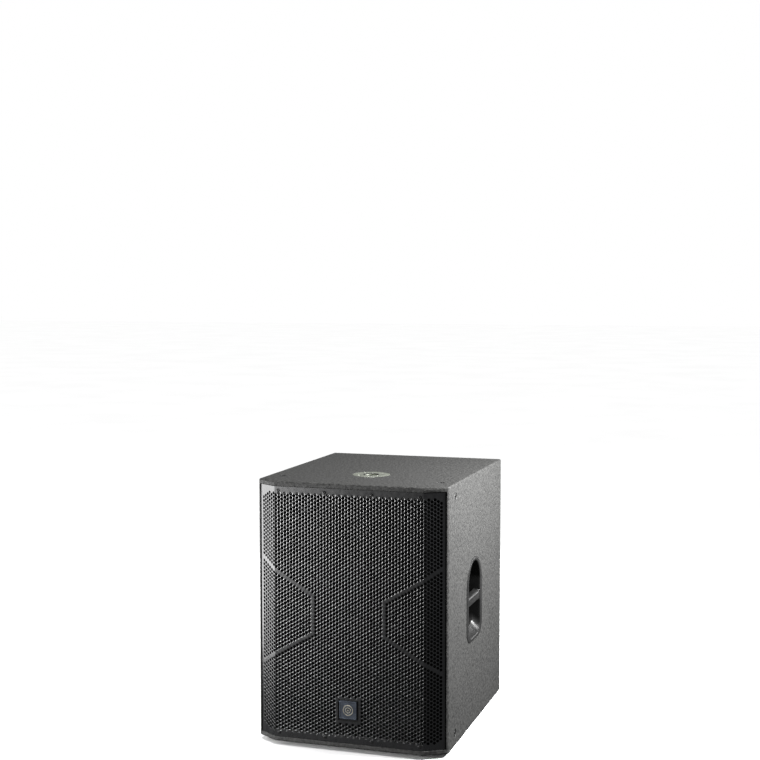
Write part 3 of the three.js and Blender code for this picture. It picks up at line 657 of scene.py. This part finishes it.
class GrilleSheet:
    """The outer skin of the folded, perforated sheet, with the badge's hole."""

    def __init__(self):
        half = grille_profile()
        self.lines = [(-x, y) for x, y in reversed(half[1:])] + half
        self.middle_line = len(half) - 1
        middle_z = (GRILLE_LOW.z + GRILLE_HIGH.z) / 2 + HOLES_RAISED
        reach = TOP_ROW + 1
        rows = [middle_z + m * ROW_PITCH / 2 for m in range(-reach, reach + 1)]
        self.heights = [GRILLE_LOW.z, *rows, GRILLE_HIGH.z]
        self.middle_row = reach + 1
        self.verts = []
        self.faces = []

    def at(self, i, k):
        """Index of the point on a line at a height."""
        return i * len(self.heights) + k

    def add_points(self):
        """The points of every line. Between holes the lines lean to and fro, which leaves hexagons."""
        for i, (x, y) in enumerate(self.lines):
            offset = i - self.middle_line
            straight = abs(offset) >= HOLE_COLUMNS or abs(offset) == COLUMNS_BEFORE_FOLD
            tilt = 0 if abs(offset) < COLUMNS_BEFORE_FOLD else BEVEL_ANGLE * (1 if offset > 0 else -1)
            for k, z in enumerate(self.heights):
                inwards = (k - self.middle_row + offset) % 2 == 0
                still = straight or abs(k - self.middle_row) > TOP_ROW
                lean = 0 if still else ZIGZAG * (-1 if inwards else 1)
                self.verts.append((x + lean * cos(tilt), y + lean * sin(tilt), z))

    def pierce(self, i, k):
        """One cell over two half pitches, with a round hole and its pressed shoulder in the middle."""
        (x0, y0), (x1, y1) = self.lines[i], self.lines[i + 1]
        width = hypot(x1 - x0, y1 - y0)
        along_x, along_y = (x1 - x0) / width, (y1 - y0) / width
        cx, cy, cz = (x0 + x1) / 2, (y0 + y1) / 2, self.heights[k + 1]
        corners = ((i, k), (i + 1, k), (i + 1, k + 1), (i + 1, k + 2), (i, k + 2), (i, k + 1))
        outline = [self.at(*corner) for corner in corners]
        flat = []
        for x, y, z in (self.verts[v] for v in outline):
            flat.append(((x - cx) * along_x + (y - cy) * along_y, z - cz))
        first = len(self.verts)
        for depth in (0, SHOULDER_DROP):
            for j in range(HOLE_SIDES):
                angle = -5 * pi / 6 + 2 * pi * j / HOLE_SIDES
                shoulder = min(SHOULDER_RADIUS, reach_inside(flat, angle) - 0.04)
                radius = HOLE_RADIUS if depth else shoulder
                u, v = radius * cos(angle), radius * sin(angle)
                x, y = cx + along_x * u - along_y * depth, cy + along_y * u + along_x * depth
                self.verts.append((x, y, cz + v))
        # The points of the hole that face the outline's six corners.
        facing = (0, 4, 5, 6, 10, 11)
        for j in range(len(facing)):
            after = (j + 1) % len(facing)
            a, b = facing[j], facing[after]
            arc = [first + (b - m) % HOLE_SIDES for m in range((b - a) % HOLE_SIDES + 1)]
            self.faces.append([outline[j], outline[after], *arc])
        for j in range(HOLE_SIDES):
            after = (j + 1) % HOLE_SIDES
            inner = first + HOLE_SIDES
            self.faces.append([first + j, first + after, inner + after, inner + j])

    def find_void(self):
        """The lines and heights next to the badge's hole, between which no cell is made."""
        low, high = span("badge_plate")
        self.badge_z = ((low + high) / 2).z
        self.badge_half = (high.x - low.x) / 2 + BADGE_GAP
        bottom = self.badge_z - self.badge_half - BADGE_MARGIN
        top = self.badge_z + self.badge_half + BADGE_MARGIN
        near = [i for i, (x, _) in enumerate(self.lines) if abs(x) < self.badge_half + BADGE_MARGIN + 4]
        self.void_lines = near[0], near[-1]
        self.void_heights = (max(k for k, z in enumerate(self.heights) if z < bottom),
                             min(k for k, z in enumerate(self.heights) if z > top))

    def add_cells(self):
        """The faces between neighbouring lines: pierced cells, and plain strips in between."""
        left, right = self.void_lines
        low, high = self.void_heights
        for i in range(len(self.lines) - 1):
            offset = i - self.middle_line
            side = 1 if offset >= 0 else -1
            column = offset if offset >= 0 else -offset - 1
            in_void = left <= i < right
            k = 0
            while k < len(self.heights) - 1:
                row = k + 1 - self.middle_row
                inside = column < HOLE_COLUMNS and abs(row) <= TOP_ROW and (row + offset) % 2 == 0
                blocked = in_void and k + 2 > low and k < high
                if inside and has_hole(column, row, side) and not blocked:
                    self.pierce(i, k)
                    k += 2
                    continue
                if not (in_void and low <= k < high):
                    quad = ((i, k), (i + 1, k), (i + 1, k + 1), (i, k + 1))
                    self.faces.append([self.at(*corner) for corner in quad])
                k += 1

    def frame_badge(self):
        """Joins the sheet to the badge's square hole, a quarter at a time from corner to corner."""
        (left, right), (low, high) = self.void_lines, self.void_heights
        first = len(self.verts)
        hole = rounded(2 * self.badge_half, 2 * self.badge_half, 2, 16)
        self.verts += [(u, GRILLE_LOW.y, self.badge_z + v) for u, v in hole]
        edges = (
            [self.at(i, high) for i in range(right, left - 1, -1)],
            [self.at(left, k) for k in range(high, low - 1, -1)],
            [self.at(i, low) for i in range(left, right + 1)],
            [self.at(right, k) for k in range(low, high + 1)],
        )
        for quarter, edge in enumerate(edges):
            inner = [first + (quarter * 4 + 2 + m) % 16 for m in (4, 3, 2, 1, 0)]
            self.faces.append([*edge, *inner])


def make_grille():
    sheet = GrilleSheet()
    sheet.add_points()
    sheet.find_void()
    sheet.add_cells()
    sheet.frame_badge()
    mesh = bpy.data.meshes.new("perforated_grille")
    mesh.from_pydata([[c * MM for c in vert] for vert in sheet.verts], [], sheet.faces)
    mesh.validate()
    grille = place_object("perforated_grille", mesh)
    thick = grille.modifiers.new("sheet", "SOLIDIFY")
    thick.thickness = SHEET * MM
    thick.offset = -1
    bake_modifiers(grille)
    settle(grille, FINISH["grille_steel"], ("front_grille",), crease=31)


def make_foam():
    """A sheet of open-cell foam behind the grille, its skin slightly uneven."""
    inset, thickness = FOAM_LOW.y - FRONT_Y, 6
    steps_x, steps_z = 64, 80
    lump, dent = 14, 0.5
    fronts, backs = [], []
    for i in range(steps_x + 1):
        x = FOAM_LOW.x + (FOAM_HIGH.x - FOAM_LOW.x) * i / steps_x
        for k in range(steps_z + 1):
            z = FOAM_LOW.z + (FOAM_HIGH.z - FOAM_LOW.z) * k / steps_z
            depth = dent * (0.5 + 0.5 * noise.noise(Vector((x / lump, z / lump, 0.3))))
            fronts.append((x, front_y(x, inset) + depth, z))
            backs.append((x, min(front_y(x, inset + thickness), FOAM_HIGH.y), z))

    def at(i, k):
        return i * (steps_z + 1) + k

    back = len(fronts)
    faces = []
    for i in range(steps_x):
        for k in range(steps_z):
            quad = [at(i, k), at(i + 1, k), at(i + 1, k + 1), at(i, k + 1)]
            faces += [quad, [back + v for v in reversed(quad)]]
    rim = [at(i, 0) for i in range(steps_x)] + [at(steps_x, k) for k in range(steps_z)]
    rim += [at(i, steps_z) for i in range(steps_x, 0, -1)] + [at(0, k) for k in range(steps_z, 0, -1)]
    for a, b in zip(rim, rim[1:] + rim[:1]):
        faces.append([b, a, back + a, back + b])
    shape = Shape(fronts + backs, faces)
    pad = piece("foam_sheet", shape, FINISH["foam"], ("grille_foam",), crease=60)


# ---------- screws, plugs, feet, pole socket, badge ----------
def cap_screw(facing, centre, radius, height, shank, hexed=True):
    """A button-headed screw with a hexagon or round socket, its seat at centre."""
    socket = hexagon(radius * 0.5) if hexed else circle(radius * 0.4)
    eased = hexagon(radius * 0.56) if hexed else circle(radius * 0.5)
    head = rounds((radius * 0.42, -shank), (radius * 0.42, 0), (radius, 0), (radius, height * 0.3),
                  (radius * 0.94, height * 0.62), (radius * 0.8, height * 0.9), (radius * 0.66, height))
    return stack(facing, centre, *head, (eased, height), (socket, height * 0.85), (socket, height * 0.15))


def make_grille_screws():
    for row in ("top", "bottom"):
        for i in range(1, 5):
            node = f"grille_screw_{row}_{i}"
            low, high = span(node)
            centre = ((low.x + high.x) / 2, GRILLE_LOW.y, (low.z + high.z) / 2)
            screw = cap_screw("front", centre, (high.x - low.x) / 2 + 0.2, 1.8, 13)
            piece(f"cap_screw_{row}_{i}", screw, FINISH["screw_steel"], (node,))


def make_plugs():
    """Thread plugs with a turned groove and a hexagon socket."""
    body = rounds((10, -14.7), (10, -1.3), (9.4, -0.5), (7.6, -0.4), (7.2, -0.9), (6.4, -0.9), (6, -0.4))
    socket = hexagons((4.2, -0.4), (3.8, -0.9), (3.8, -6.4))
    for node, facing in PLUGS.items():
        name = node.replace("rigging_plug", "thread_plug")
        shape = stack(facing, side_point(facing, node), *body, *socket)
        piece(name, shape, FINISH["screw_steel"], (node,))


def make_feet():
    """Rubber feet with a deep hollow, and the screw at the bottom of each."""
    for end in ("front", "back"):
        for side in ("left", "right"):
            node = f"foot_{end}_{side}"
            low, high = span(node)
            x, y = (low.x + high.x) / 2, (low.y + high.y) / 2
            r, tall = (high.x - low.x) / 2, high.z - low.z
            foot = rounds((r, 0), (r, tall * 0.55), (r * 0.985, tall * 0.8), (r * 0.93, tall * 0.96),
                          (r * 0.86, tall), (r * 0.48, tall), (r * 0.43, tall * 0.93), (r * 0.42, tall * 0.45))
            piece(f"rubber_{node}", stack("down", (x, y, high.z), *foot), FINISH["rubber"], (node,))
            screw = cap_screw("down", (x, y, high.z - tall * 0.45), 6, 2.6, 2)
            piece(f"foot_screw_{end}_{side}", screw, FINISH["screw_steel"])


def make_pole_socket():
    """The cast cup with its countersunk flange, a plastic bush in its mouth, and four screws."""
    low, high = span("pole_socket")
    centre = side_point("up", "pole_socket")
    bore, thread, tube, plate, screw_circle = 17.8, 10, 21, (high.x - low.x) / 2, 37
    depth = high.z - low.z
    cup = rounds((thread, 3 - depth), (thread, 17 - depth), (thread + 1, 18 - depth), (bore, 18 - depth),
                 (bore, -1.6), (bore + 4.2, -1.6), (bore + 4.2, -0.3), (bore + 4.6, 0), (plate - 0.8, 0),
                 (plate, -0.7), (plate, -3), (tube, -3), (tube, -depth))
    socket = place_object("pole_cup", build_mesh("pole_cup", stack("up", centre, *cup)))
    spots = [(centre[0] + screw_circle * cos(a), centre[1] + screw_circle * sin(a), centre[2])
             for a in (radians(45 + 90 * i) for i in range(4))]
    countersink = rounds((2.6, -4), (2.6, -2), (5.6, 0.6))
    cut(socket, together([stack("up", spot, *countersink) for spot in spots]))
    settle(socket, FINISH["socket_metal"], ("pole_socket",))
    bush = turned("up", centre, ((bore, -1.5), (bore + 4.1, -1.5), (bore + 4.1, -0.2), (bore + 3.6, 0),
                                 (bore + 0.6, 0), (bore, -0.5)))
    piece("pole_bush", bush, FINISH["plastic"])
    head = rounds((2.4, -3), (2.6, -1.9), (4.7, -0.5), (4.5, -0.35))
    head += hexagons((2.2, -0.35), (2, -0.7), (2, -1.8))
    for i, spot in enumerate(spots):
        piece(f"socket_screw_{i + 1}", stack("up", spot, *head), FINISH["screw_steel"])


def make_badge():
    """A square plate in a shallow tray, with a plain emblem of raised rings."""
    low, high = span("badge_plate")
    centre = ((low.x + high.x) / 2, high.y, (low.z + high.z) / 2)
    pan, plate, proud = high.x - low.x, 49, high.y - low.y

    def square(size, corner, depth):
        return (rounded(size, size, corner), depth)

    tray = stack("front", centre,
                 square(pan, 2, 0), square(pan, 2, 4.4), square(pan - 0.6, 2, 4.8),
                 square(pan - 1.6, 2, 4.8), square(pan - 2, 1.6, 4.4), square(pan - 2, 1.6, 1.2))
    piece("badge_tray", tray, FINISH["plastic"])
    shape = stack("front", centre,
                  square(plate, 2.4, 1.3), square(plate, 2.4, proud - 2.4),
                  square(plate - 1.2, 2.2, proud - 1.1), square(plate - 3.8, 2, proud - 0.15),
                  square(plate - 5, 1.6, proud), square(plate - 6.4, 1.4, proud - 0.1),
                  square(plate - 7.2, 1.2, proud - 0.7))
    piece("badge_square", shape, FINISH["badge_metal"], ("badge_plate",))
    ground, top, slant = proud - 0.7, proud + 0.2, 0.5
    emblem = Shape()
    for inner, outer in ((11.6, 14.2), (5.6, 7.8)):
        ring = ((inner, ground), (outer, ground), (outer - slant, top), (inner + slant, top))
        emblem += turned("front", centre, ring)
    emblem += stack("front", centre, *rounds((2.4, ground), (2, top)))
    piece("badge_rings", emblem, FINISH["emblem_metal"])


# ---------- side handles ----------
def make_handle(facing):
    """The moulded cup with its arched mouth, and the grip bar across it, flared at both ends."""
    node = f"handle_{facing}"
    centre = side_point(facing, node)

    def mouth(grow, depth):
        return (handle_outline(HANDLE_MOUTH, grow), depth)

    def rim(inset, depth):
        return (handle_outline(HANDLE_FLANGE, -inset), depth)

    def pocket(inset, depth):
        return (handle_outline(HANDLE_POCKET, -inset), depth)

    scoop = []
    for i in range(1, 6):
        share = i / 6
        size = [inner + (outer - inner) * share for inner, outer in zip(HANDLE_POCKET, HANDLE_MOUTH)]
        scoop.append((handle_outline(size), -HANDLE_SLOPE + (HANDLE_SLOPE - 1.5) * share ** 1.25))
    body = stack(facing, centre,
                 pocket(3, -HANDLE_FLOOR), pocket(0.8, -HANDLE_FLOOR + 0.9), pocket(0, -HANDLE_FLOOR + 3),
                 pocket(0, -HANDLE_SLOPE - 1), *scoop,
                 mouth(0, -1.5), mouth(0.5, 0), mouth(1.6, 0.9), mouth(3, 1.2),
                 rim(4, 1.5), rim(1.6, 1.4), rim(0.5, 0.9), rim(0, -0.1), rim(0, -3),
                 mouth(3, -3), mouth(3, -HANDLE_BACK))
    piece(f"handle_cup_{facing}", body, FINISH["plastic"], (node,))
    u_axis, v_axis, normal = FACINGS[facing]
    right_end = [(0.88, 0), (0.93, 0.6), (0.97, 1.8), (1, 4)]
    left_end = [(-share, flare) for share, flare in reversed(right_end)]
    rings = []
    for share, flare in left_end + right_end:
        across = share * (HANDLE_MOUTH[0] / 2 + 0.8)
        outline = rounded(BAR_HIGH - BAR_LOW + flare, BAR_THICK + flare, 7)
        section = moved(outline, (BAR_LOW + BAR_HIGH) / 2, -BAR_DEPTH)
        rings.append([
            tuple(centre[k] + u_axis[k] * across + v_axis[k] * v + normal[k] * n for k in range(3))
            for v, n in section
        ])
    piece(f"handle_bar_{facing}", loft(rings), FINISH["plastic"])


# ---------- rear amplifier panel ----------
def rear_point(node):
    """The middle of a node, on the amplifier panel's face."""
    at = middle(node)
    return (at.x, AMP_FACE_Y, at.z)


def make_panel_screws():
    low, high = span("amp_panel")
    edge, inner_x = 8, 74
    spots = [(x, low.z + edge + (high.z - low.z - 2 * edge) * i / 4)
             for x in (low.x + edge, high.x - edge) for i in range(5)]
    spots += [(x, z) for x in (-inner_x, inner_x) for z in (low.z + edge, high.z - edge)]
    for i, (x, z) in enumerate(spots):
        screw = cap_screw("rear", (x, AMP_FACE_Y + 0.05, z), 4, 2, 3)
        piece(f"panel_screw_{i + 1}", screw, FINISH["screw_steel"])


def make_knob(node, body):
    """A fluted knob with a white pointer line, and its ring of eleven marks on the panel."""
    low, high = span(node)
    x, _, z = middle(node)
    centre = (x, low.y, z)
    base, tall = (high.x - low.x) / 2, high.y - low.y - 0.6
    many = ROUND * 3
    skirt = rounds((base, 0), (base, 1.2), (base - 0.5, 1.8), (base - 1, 2.2), count=many)
    grip = [(fluted(base - 1.4, 18, 0.5), 3), (fluted(base - 1.9, 18, 0.5), tall - 1),
            (fluted(base - 2.3, 18, 0.4), tall - 0.3)]
    top = rounds((base - 3.4, tall), (base - 4, tall - 0.3), count=many)
    cap = stack("rear", centre, *skirt, *grip, *top)
    piece(f"{node}_cap", cap, FINISH["knob_plastic"], (node,), body)
    top_line = moved(rounded(0.9, 3.6, 0.3, 16), 0, 4.1)
    side_line = rounded(0.9, 1, 0.3, 16)
    pointer = stack("rear", centre, (top_line, tall - 0.6), (top_line, tall + 0.15))
    pointer += stack("rear", (x, low.y, z + base - 1.9), (side_line, 3.4), (side_line, tall - 0.9))
    piece(f"{node}_pointer", pointer, FINISH["print"], (), body)
    marks = Shape()
    for i in range(11):
        angle = radians(-150 + 30 * i)
        outer = 12.2 if i in (0, 5, 10) else 11.4
        mark = [(r * sin(angle) + w * cos(angle), r * cos(angle) - w * sin(angle))
                for r, w in ((10, -0.25), (10, 0.25), (outer, 0.25), (outer, -0.25))]
        marks += stack("rear", (x, AMP_FACE_Y, z), (mark, -0.05), (mark, 0.12))
    piece(f"{node}_marks", marks, FINISH["print"])


def make_xlr(node, male):
    """A panel connector: flange, round barrel mouth, three contacts, and a slot for the input's latch."""
    low, high = span(node)
    x, y, z = rear_point(node)
    width, height = high.x - low.x, high.z - low.z
    floor = -13 if male else -1

    def flange(inset, depth):
        return (rounded(width - 2 * inset, height - 2 * inset, 3 - inset), depth)

    shape = stack("rear", (x, y, z), *rounds((11.6, -21), (11.6, -0.5)),
                  flange(0, 0.3), flange(0, 1.6), flange(0.3, 2.1), flange(0.8, 2.3),
                  *rounds((11, 2.3), (10.6, 2.2), (10.2, 1.6), (9.6, 1.4), (9.6, floor)))
    shell = place_object(f"{node}_shell", build_mesh(f"{node}_shell", shape))
    if not male:
        latch_low, latch_high = span("xlr_latch")
        slot = rounded(latch_high.x - latch_low.x + 0.6, latch_high.z - latch_low.z + 0.6, 0.5)
        cut(shell, stack("rear", rear_point("xlr_latch"), (slot, -4), (slot, 4)))
    settle(shell, FINISH["screw_steel"], (node,))
    pin = rounds((1.2, floor - 1), (1.2, -2.4), (0.7, -1.6), count=24)
    sleeve = ((1.3, floor - 2), (1.9, floor - 2), (1.9, floor + 0.5), (1.6, floor + 0.6), (1.3, floor + 0.4))
    contacts = Shape()
    for angle in (pi / 2, pi * 7 / 6, pi * 11 / 6):
        spot = (x + 4.5 * cos(angle), y, z - 1 + 4.5 * sin(angle))
        contacts += stack("rear", spot, *pin) if male else turned("rear", spot, sleeve, 24)
    piece(f"{node}_contacts", contacts, FINISH["sheet_metal"])
    for i, (sx, sz) in enumerate(((-1, 1), (1, -1))):
        spot = (x + sx * (width / 2 - 3), y + 2.2, z + sz * (height / 2 - 3))
        piece(f"{node}_screw_{i + 1}", cap_screw("rear", spot, 2.3, 0.9, 2, hexed=False),
              FINISH["screw_steel"])


def make_switch_and_inlet():
    """The power switch's bezel with the well for its rocker, and the mains inlet's pins and screws."""
    low, high = span("switch_frame")
    barrel = rounded(18, 27, 1)

    def rim(inset, depth):
        return (rounded(high.x - low.x - 2 * inset, high.z - low.z - 2 * inset, 2), depth)

    def well(grow, depth):
        return (rounded(14.4 + 2 * grow, 23.6 + 2 * grow, 0.8), depth)

    shape = stack("rear", rear_point("switch_frame"), (barrel, -16), (barrel, 0.2),
                  rim(0, 0.3), rim(0, 1.3), rim(0.6, 1.9), well(0.5, 1.9), well(0, 1.4), well(0, -12))
    piece("switch_bezel", shape, FINISH["plastic"], ("switch_frame",))
    pins = Shape()
    x, y, z = rear_point("mains_inlet")
    blade, tip = rounded(2, 4, 0.5, 16), rounded(1.2, 3, 0.4, 16)
    for dx, dz in ((-7, -1), (7, -1), (0, 3)):
        pins += stack("rear", (x + dx, y, z + dz), (blade, -16.5), (blade, -4), (tip, -3))
    piece("inlet_pins", pins, FINISH["sheet_metal"])
    for i, side in enumerate((-1, 1)):
        head = cap_screw("rear", (x + side * 20, y + 3.2, z), 2.8, 1.1, 3, hexed=False)
        piece(f"inlet_screw_{i + 1}", head, FINISH["screw_steel"])


def make_small_controls():
    """The phase button in its collar, and the status light's dome in its bezel."""
    low, high = span("phase_button")
    x, _, z = middle("phase_button")
    r, deep = (high.x - low.x) / 2, high.y - low.y
    button = rounds((r, 0), (r, deep - 0.9), (r - 0.25, deep - 0.35), (r - 0.8, deep - 0.05),
                    (r - 1.6, deep - 0.1), (r * 0.3, deep - 0.35))
    piece("phase_button_cap", stack("rear", (x, low.y, z), *button), FINISH["knob_plastic"],
          ("phase_button",), "phase_switch")
    collar = turned("rear", (x, AMP_FACE_Y, z), ((r + 0.5, 0), (r + 2.2, 0), (r + 2, 0.7), (r + 0.6, 0.8)))
    piece("phase_collar", collar, FINISH["screw_steel"])
    light = rear_point("status_light")
    dome = [(2.6 * cos(a), 1 + 2.2 * sin(a)) for a in (radians(15 * i) for i in range(6))]
    piece("status_dome", stack("rear", light, *rounds((2.6, 0.3), *dome)), FINISH["lens"],
          ("status_light",))
    bezel = turned("rear", light, ((2.8, 0), (4.2, 0), (4, 0.8), (3, 1)))
    piece("status_bezel", bezel, FINISH["sheet_metal"])


# ---------- woofer suspension, which follows the cone ----------
def suspension(name, node, profile, material, still_radius, moving_radius):
    """A turned ring that follows the cone at its inner edge and the cabinet at its outer one."""
    x, _, z = middle(node)
    shape = turned("rear", (x, 0, z), profile, 120)
    obj = place_object(name, build_mesh(name, shape))
    settle(obj, material, (node,), body=None, crease=50)
    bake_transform(obj, "cabinet", "cone_assembly", start=(0, 0, z * MM + still_radius * MM), end=(0, 0, z * MM))
    weights = obj.data.attributes["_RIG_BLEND"]
    for vertex, weight in zip(obj.data.vertices, weights.data):
        radius = hypot(vertex.co.x / MM - x, vertex.co.z / MM - z)
        share = min(1, max(0, (still_radius - radius) / (still_radius - moving_radius)))
        weight.value = share * share * (3 - 2 * share)


def make_suspension():
    """The rubber roll round the cone, and the corrugated cloth round its voice coil."""
    landing, thick = span("woofer_surround")[1].y, 1.2
    inner_edge, inner, outer, outer_edge = 162, 172, 206, 226
    centre_r, roll = (inner + outer) / 2, (outer - inner) / 2

    def arch(radius, y, steps=14):
        return [(centre_r - radius * cos(pi * i / steps), y - radius * sin(pi * i / steps))
                for i in range(steps + 1)]

    profile = [(inner_edge, landing - thick), *arch(roll, landing - thick), (outer_edge, landing - thick),
               (outer_edge, landing), *reversed(arch(roll - thick, landing)), (inner_edge, landing)]
    suspension("roll_surround", "woofer_surround", profile, FINISH["rubber"], outer, inner)
    low, high = span("woofer_spider")
    inner, outer, waves, steps = 51.4, (high.x - low.x) / 2, 6, 72
    middle_y, lift = (low.y + high.y) / 2 - 0.4, (high.y - low.y) / 2 - 0.4
    line = [(inner + (outer - inner) * i / steps, middle_y - lift * sin(2 * pi * waves * i / steps))
            for i in range(steps + 1)]
    profile = line + [(r, y + 0.8) for r, y in reversed(line)]
    suspension("corrugated_spider", "woofer_spider", profile, FINISH["suspension_cloth"],
               outer - 4, inner + 4)


# ---------- CAD nodes that stay ----------
def finish_cad_nodes():
    """Gives every CAD node still shown its procedural finish, welded corners and eased edges."""
    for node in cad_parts.values():
        if node.hide_render:
            continue
        slot = node.data.materials[0].name.split(".")[0]
        node.material_slots[0].link = "OBJECT"
        node.material_slots[0].material = FINISH[slot]
        weld = node.modifiers.new("weld", "WELD")
        weld.merge_threshold = 0.005 * MM
        ease = node.modifiers.new("ease", "BEVEL")
        ease.width = 0.4 * MM
        ease.segments = 2
        ease.limit_method = "ANGLE"
        ease.angle_limit = radians(40)
        node.modifiers.new("normals", "WEIGHTED_NORMAL")


# ---------- studio ----------
def make_camera():
    """The viewing angle: well to the right of the front, from above the cabinet's top."""
    data = bpy.data.cameras.new("camera")
    data.sensor_width = 36
    data.lens = 64.82
    camera = bpy.data.objects.new("camera", data)
    bpy.context.scene.collection.objects.link(camera)
    yaw, pitch = 0.30965, 0.06757
    camera.location = (1.1383, -3.5986, 1.2027)
    camera.rotation_euler = (pi / 2 - pitch, 0, yaw)
    bpy.context.scene.camera = camera


def make_light(name, at, towards, size, power):
    data = bpy.data.lights.new(name, "AREA")
    data.shape = "RECTANGLE"
    data.size, data.size_y = size
    data.energy = power
    lamp = bpy.data.objects.new(name, data)
    bpy.context.scene.collection.objects.link(lamp)
    lamp.location = at
    lamp.rotation_euler = (Vector(towards) - Vector(at)).to_track_quat("-Z", "Y").to_euler()
    lamp.visible_camera = False


def make_world(backdrop, ambient):
    """A white backdrop to look at, and a dimmer even light from all round."""
    world = bpy.data.worlds.new("studio")
    world.use_nodes = True
    tree = world.node_tree
    seen = tree.nodes["Background"]
    seen.inputs["Strength"].default_value = backdrop
    seen.inputs["Color"].default_value = (1, 1, 1, 1)
    light = tree.nodes.new("ShaderNodeBackground")
    light.inputs["Strength"].default_value = ambient
    light.inputs["Color"].default_value = (1, 1, 1, 1)
    path = tree.nodes.new("ShaderNodeLightPath")
    mix = tree.nodes.new("ShaderNodeMixShader")
    tree.links.new(path.outputs["Is Camera Ray"], mix.inputs["Fac"])
    tree.links.new(light.outputs["Background"], mix.inputs[1])
    tree.links.new(seen.outputs["Background"], mix.inputs[2])
    tree.links.new(mix.outputs["Shader"], tree.nodes["World Output"].inputs["Surface"])
    bpy.context.scene.world = world


def make_overhead(strength):
    """A broad light from straight above, which whitens the floor and leaves upright faces dark."""
    data = bpy.data.lights.new("overhead", "SUN")
    data.energy = strength
    data.angle = radians(30)
    lamp = bpy.data.objects.new("overhead", data)
    bpy.context.scene.collection.objects.link(lamp)


def make_studio():
    floor_mesh = bpy.data.meshes.new("floor")
    half = 40
    corners = [(-half, -half, 0), (half, -half, 0), (half, half, 0), (-half, half, 0)]
    floor_mesh.from_pydata(corners, [], [(0, 1, 2, 3)])
    floor = place_object("floor", floor_mesh)
    floor.data.materials.append(finish("pale_floor", (grey(0.86), grey(0.9)), (0.85, 0.95), tone_size=900))
    floor.visible_diffuse = False
    floor.visible_glossy = False
    make_world(backdrop=1.0, ambient=0.1)
    make_light("left_softbox", (-1.05, -0.4, 0.35), (-0.2, -0.3, 0.33), (0.8, 0.65), 9.5)
    make_light("front_left_softbox", (-1.5, -1.8, 0.38), (-0.2, -0.3, 0.35), (0.65, 0.8), 57)
    make_light("right_softbox", (1.14, 0.03, 1.12), (0.26, 0.03, 0.5), (0.45, 0.5), 73)
    make_light("right_rear_softbox", (1.45, 2.3, 0.6), (0.4, 0, 0.5), (1.0, 0.9), 11)
    make_light("rear_softbox", (-0.7, 2.3, 0.42), (0, 0.3, 0.4), (0.9, 0.5), 34)
    make_overhead(3.4)
    bpy.context.scene.view_settings.view_transform = "Standard"


make_camera()
make_studio()
make_cabinet()
make_grille()
make_foam()
make_grille_screws()
make_plugs()
make_feet()
make_pole_socket()
make_badge()
make_handle("left")
make_handle("right")
make_panel_screws()
make_knob("level_knob", "level_control")
make_knob("crossover_knob", "crossover_control")
make_xlr("xlr_input", male=False)
make_xlr("xlr_link_output", male=True)
make_switch_and_inlet()
make_small_controls()
make_suspension()
finish_cad_nodes()
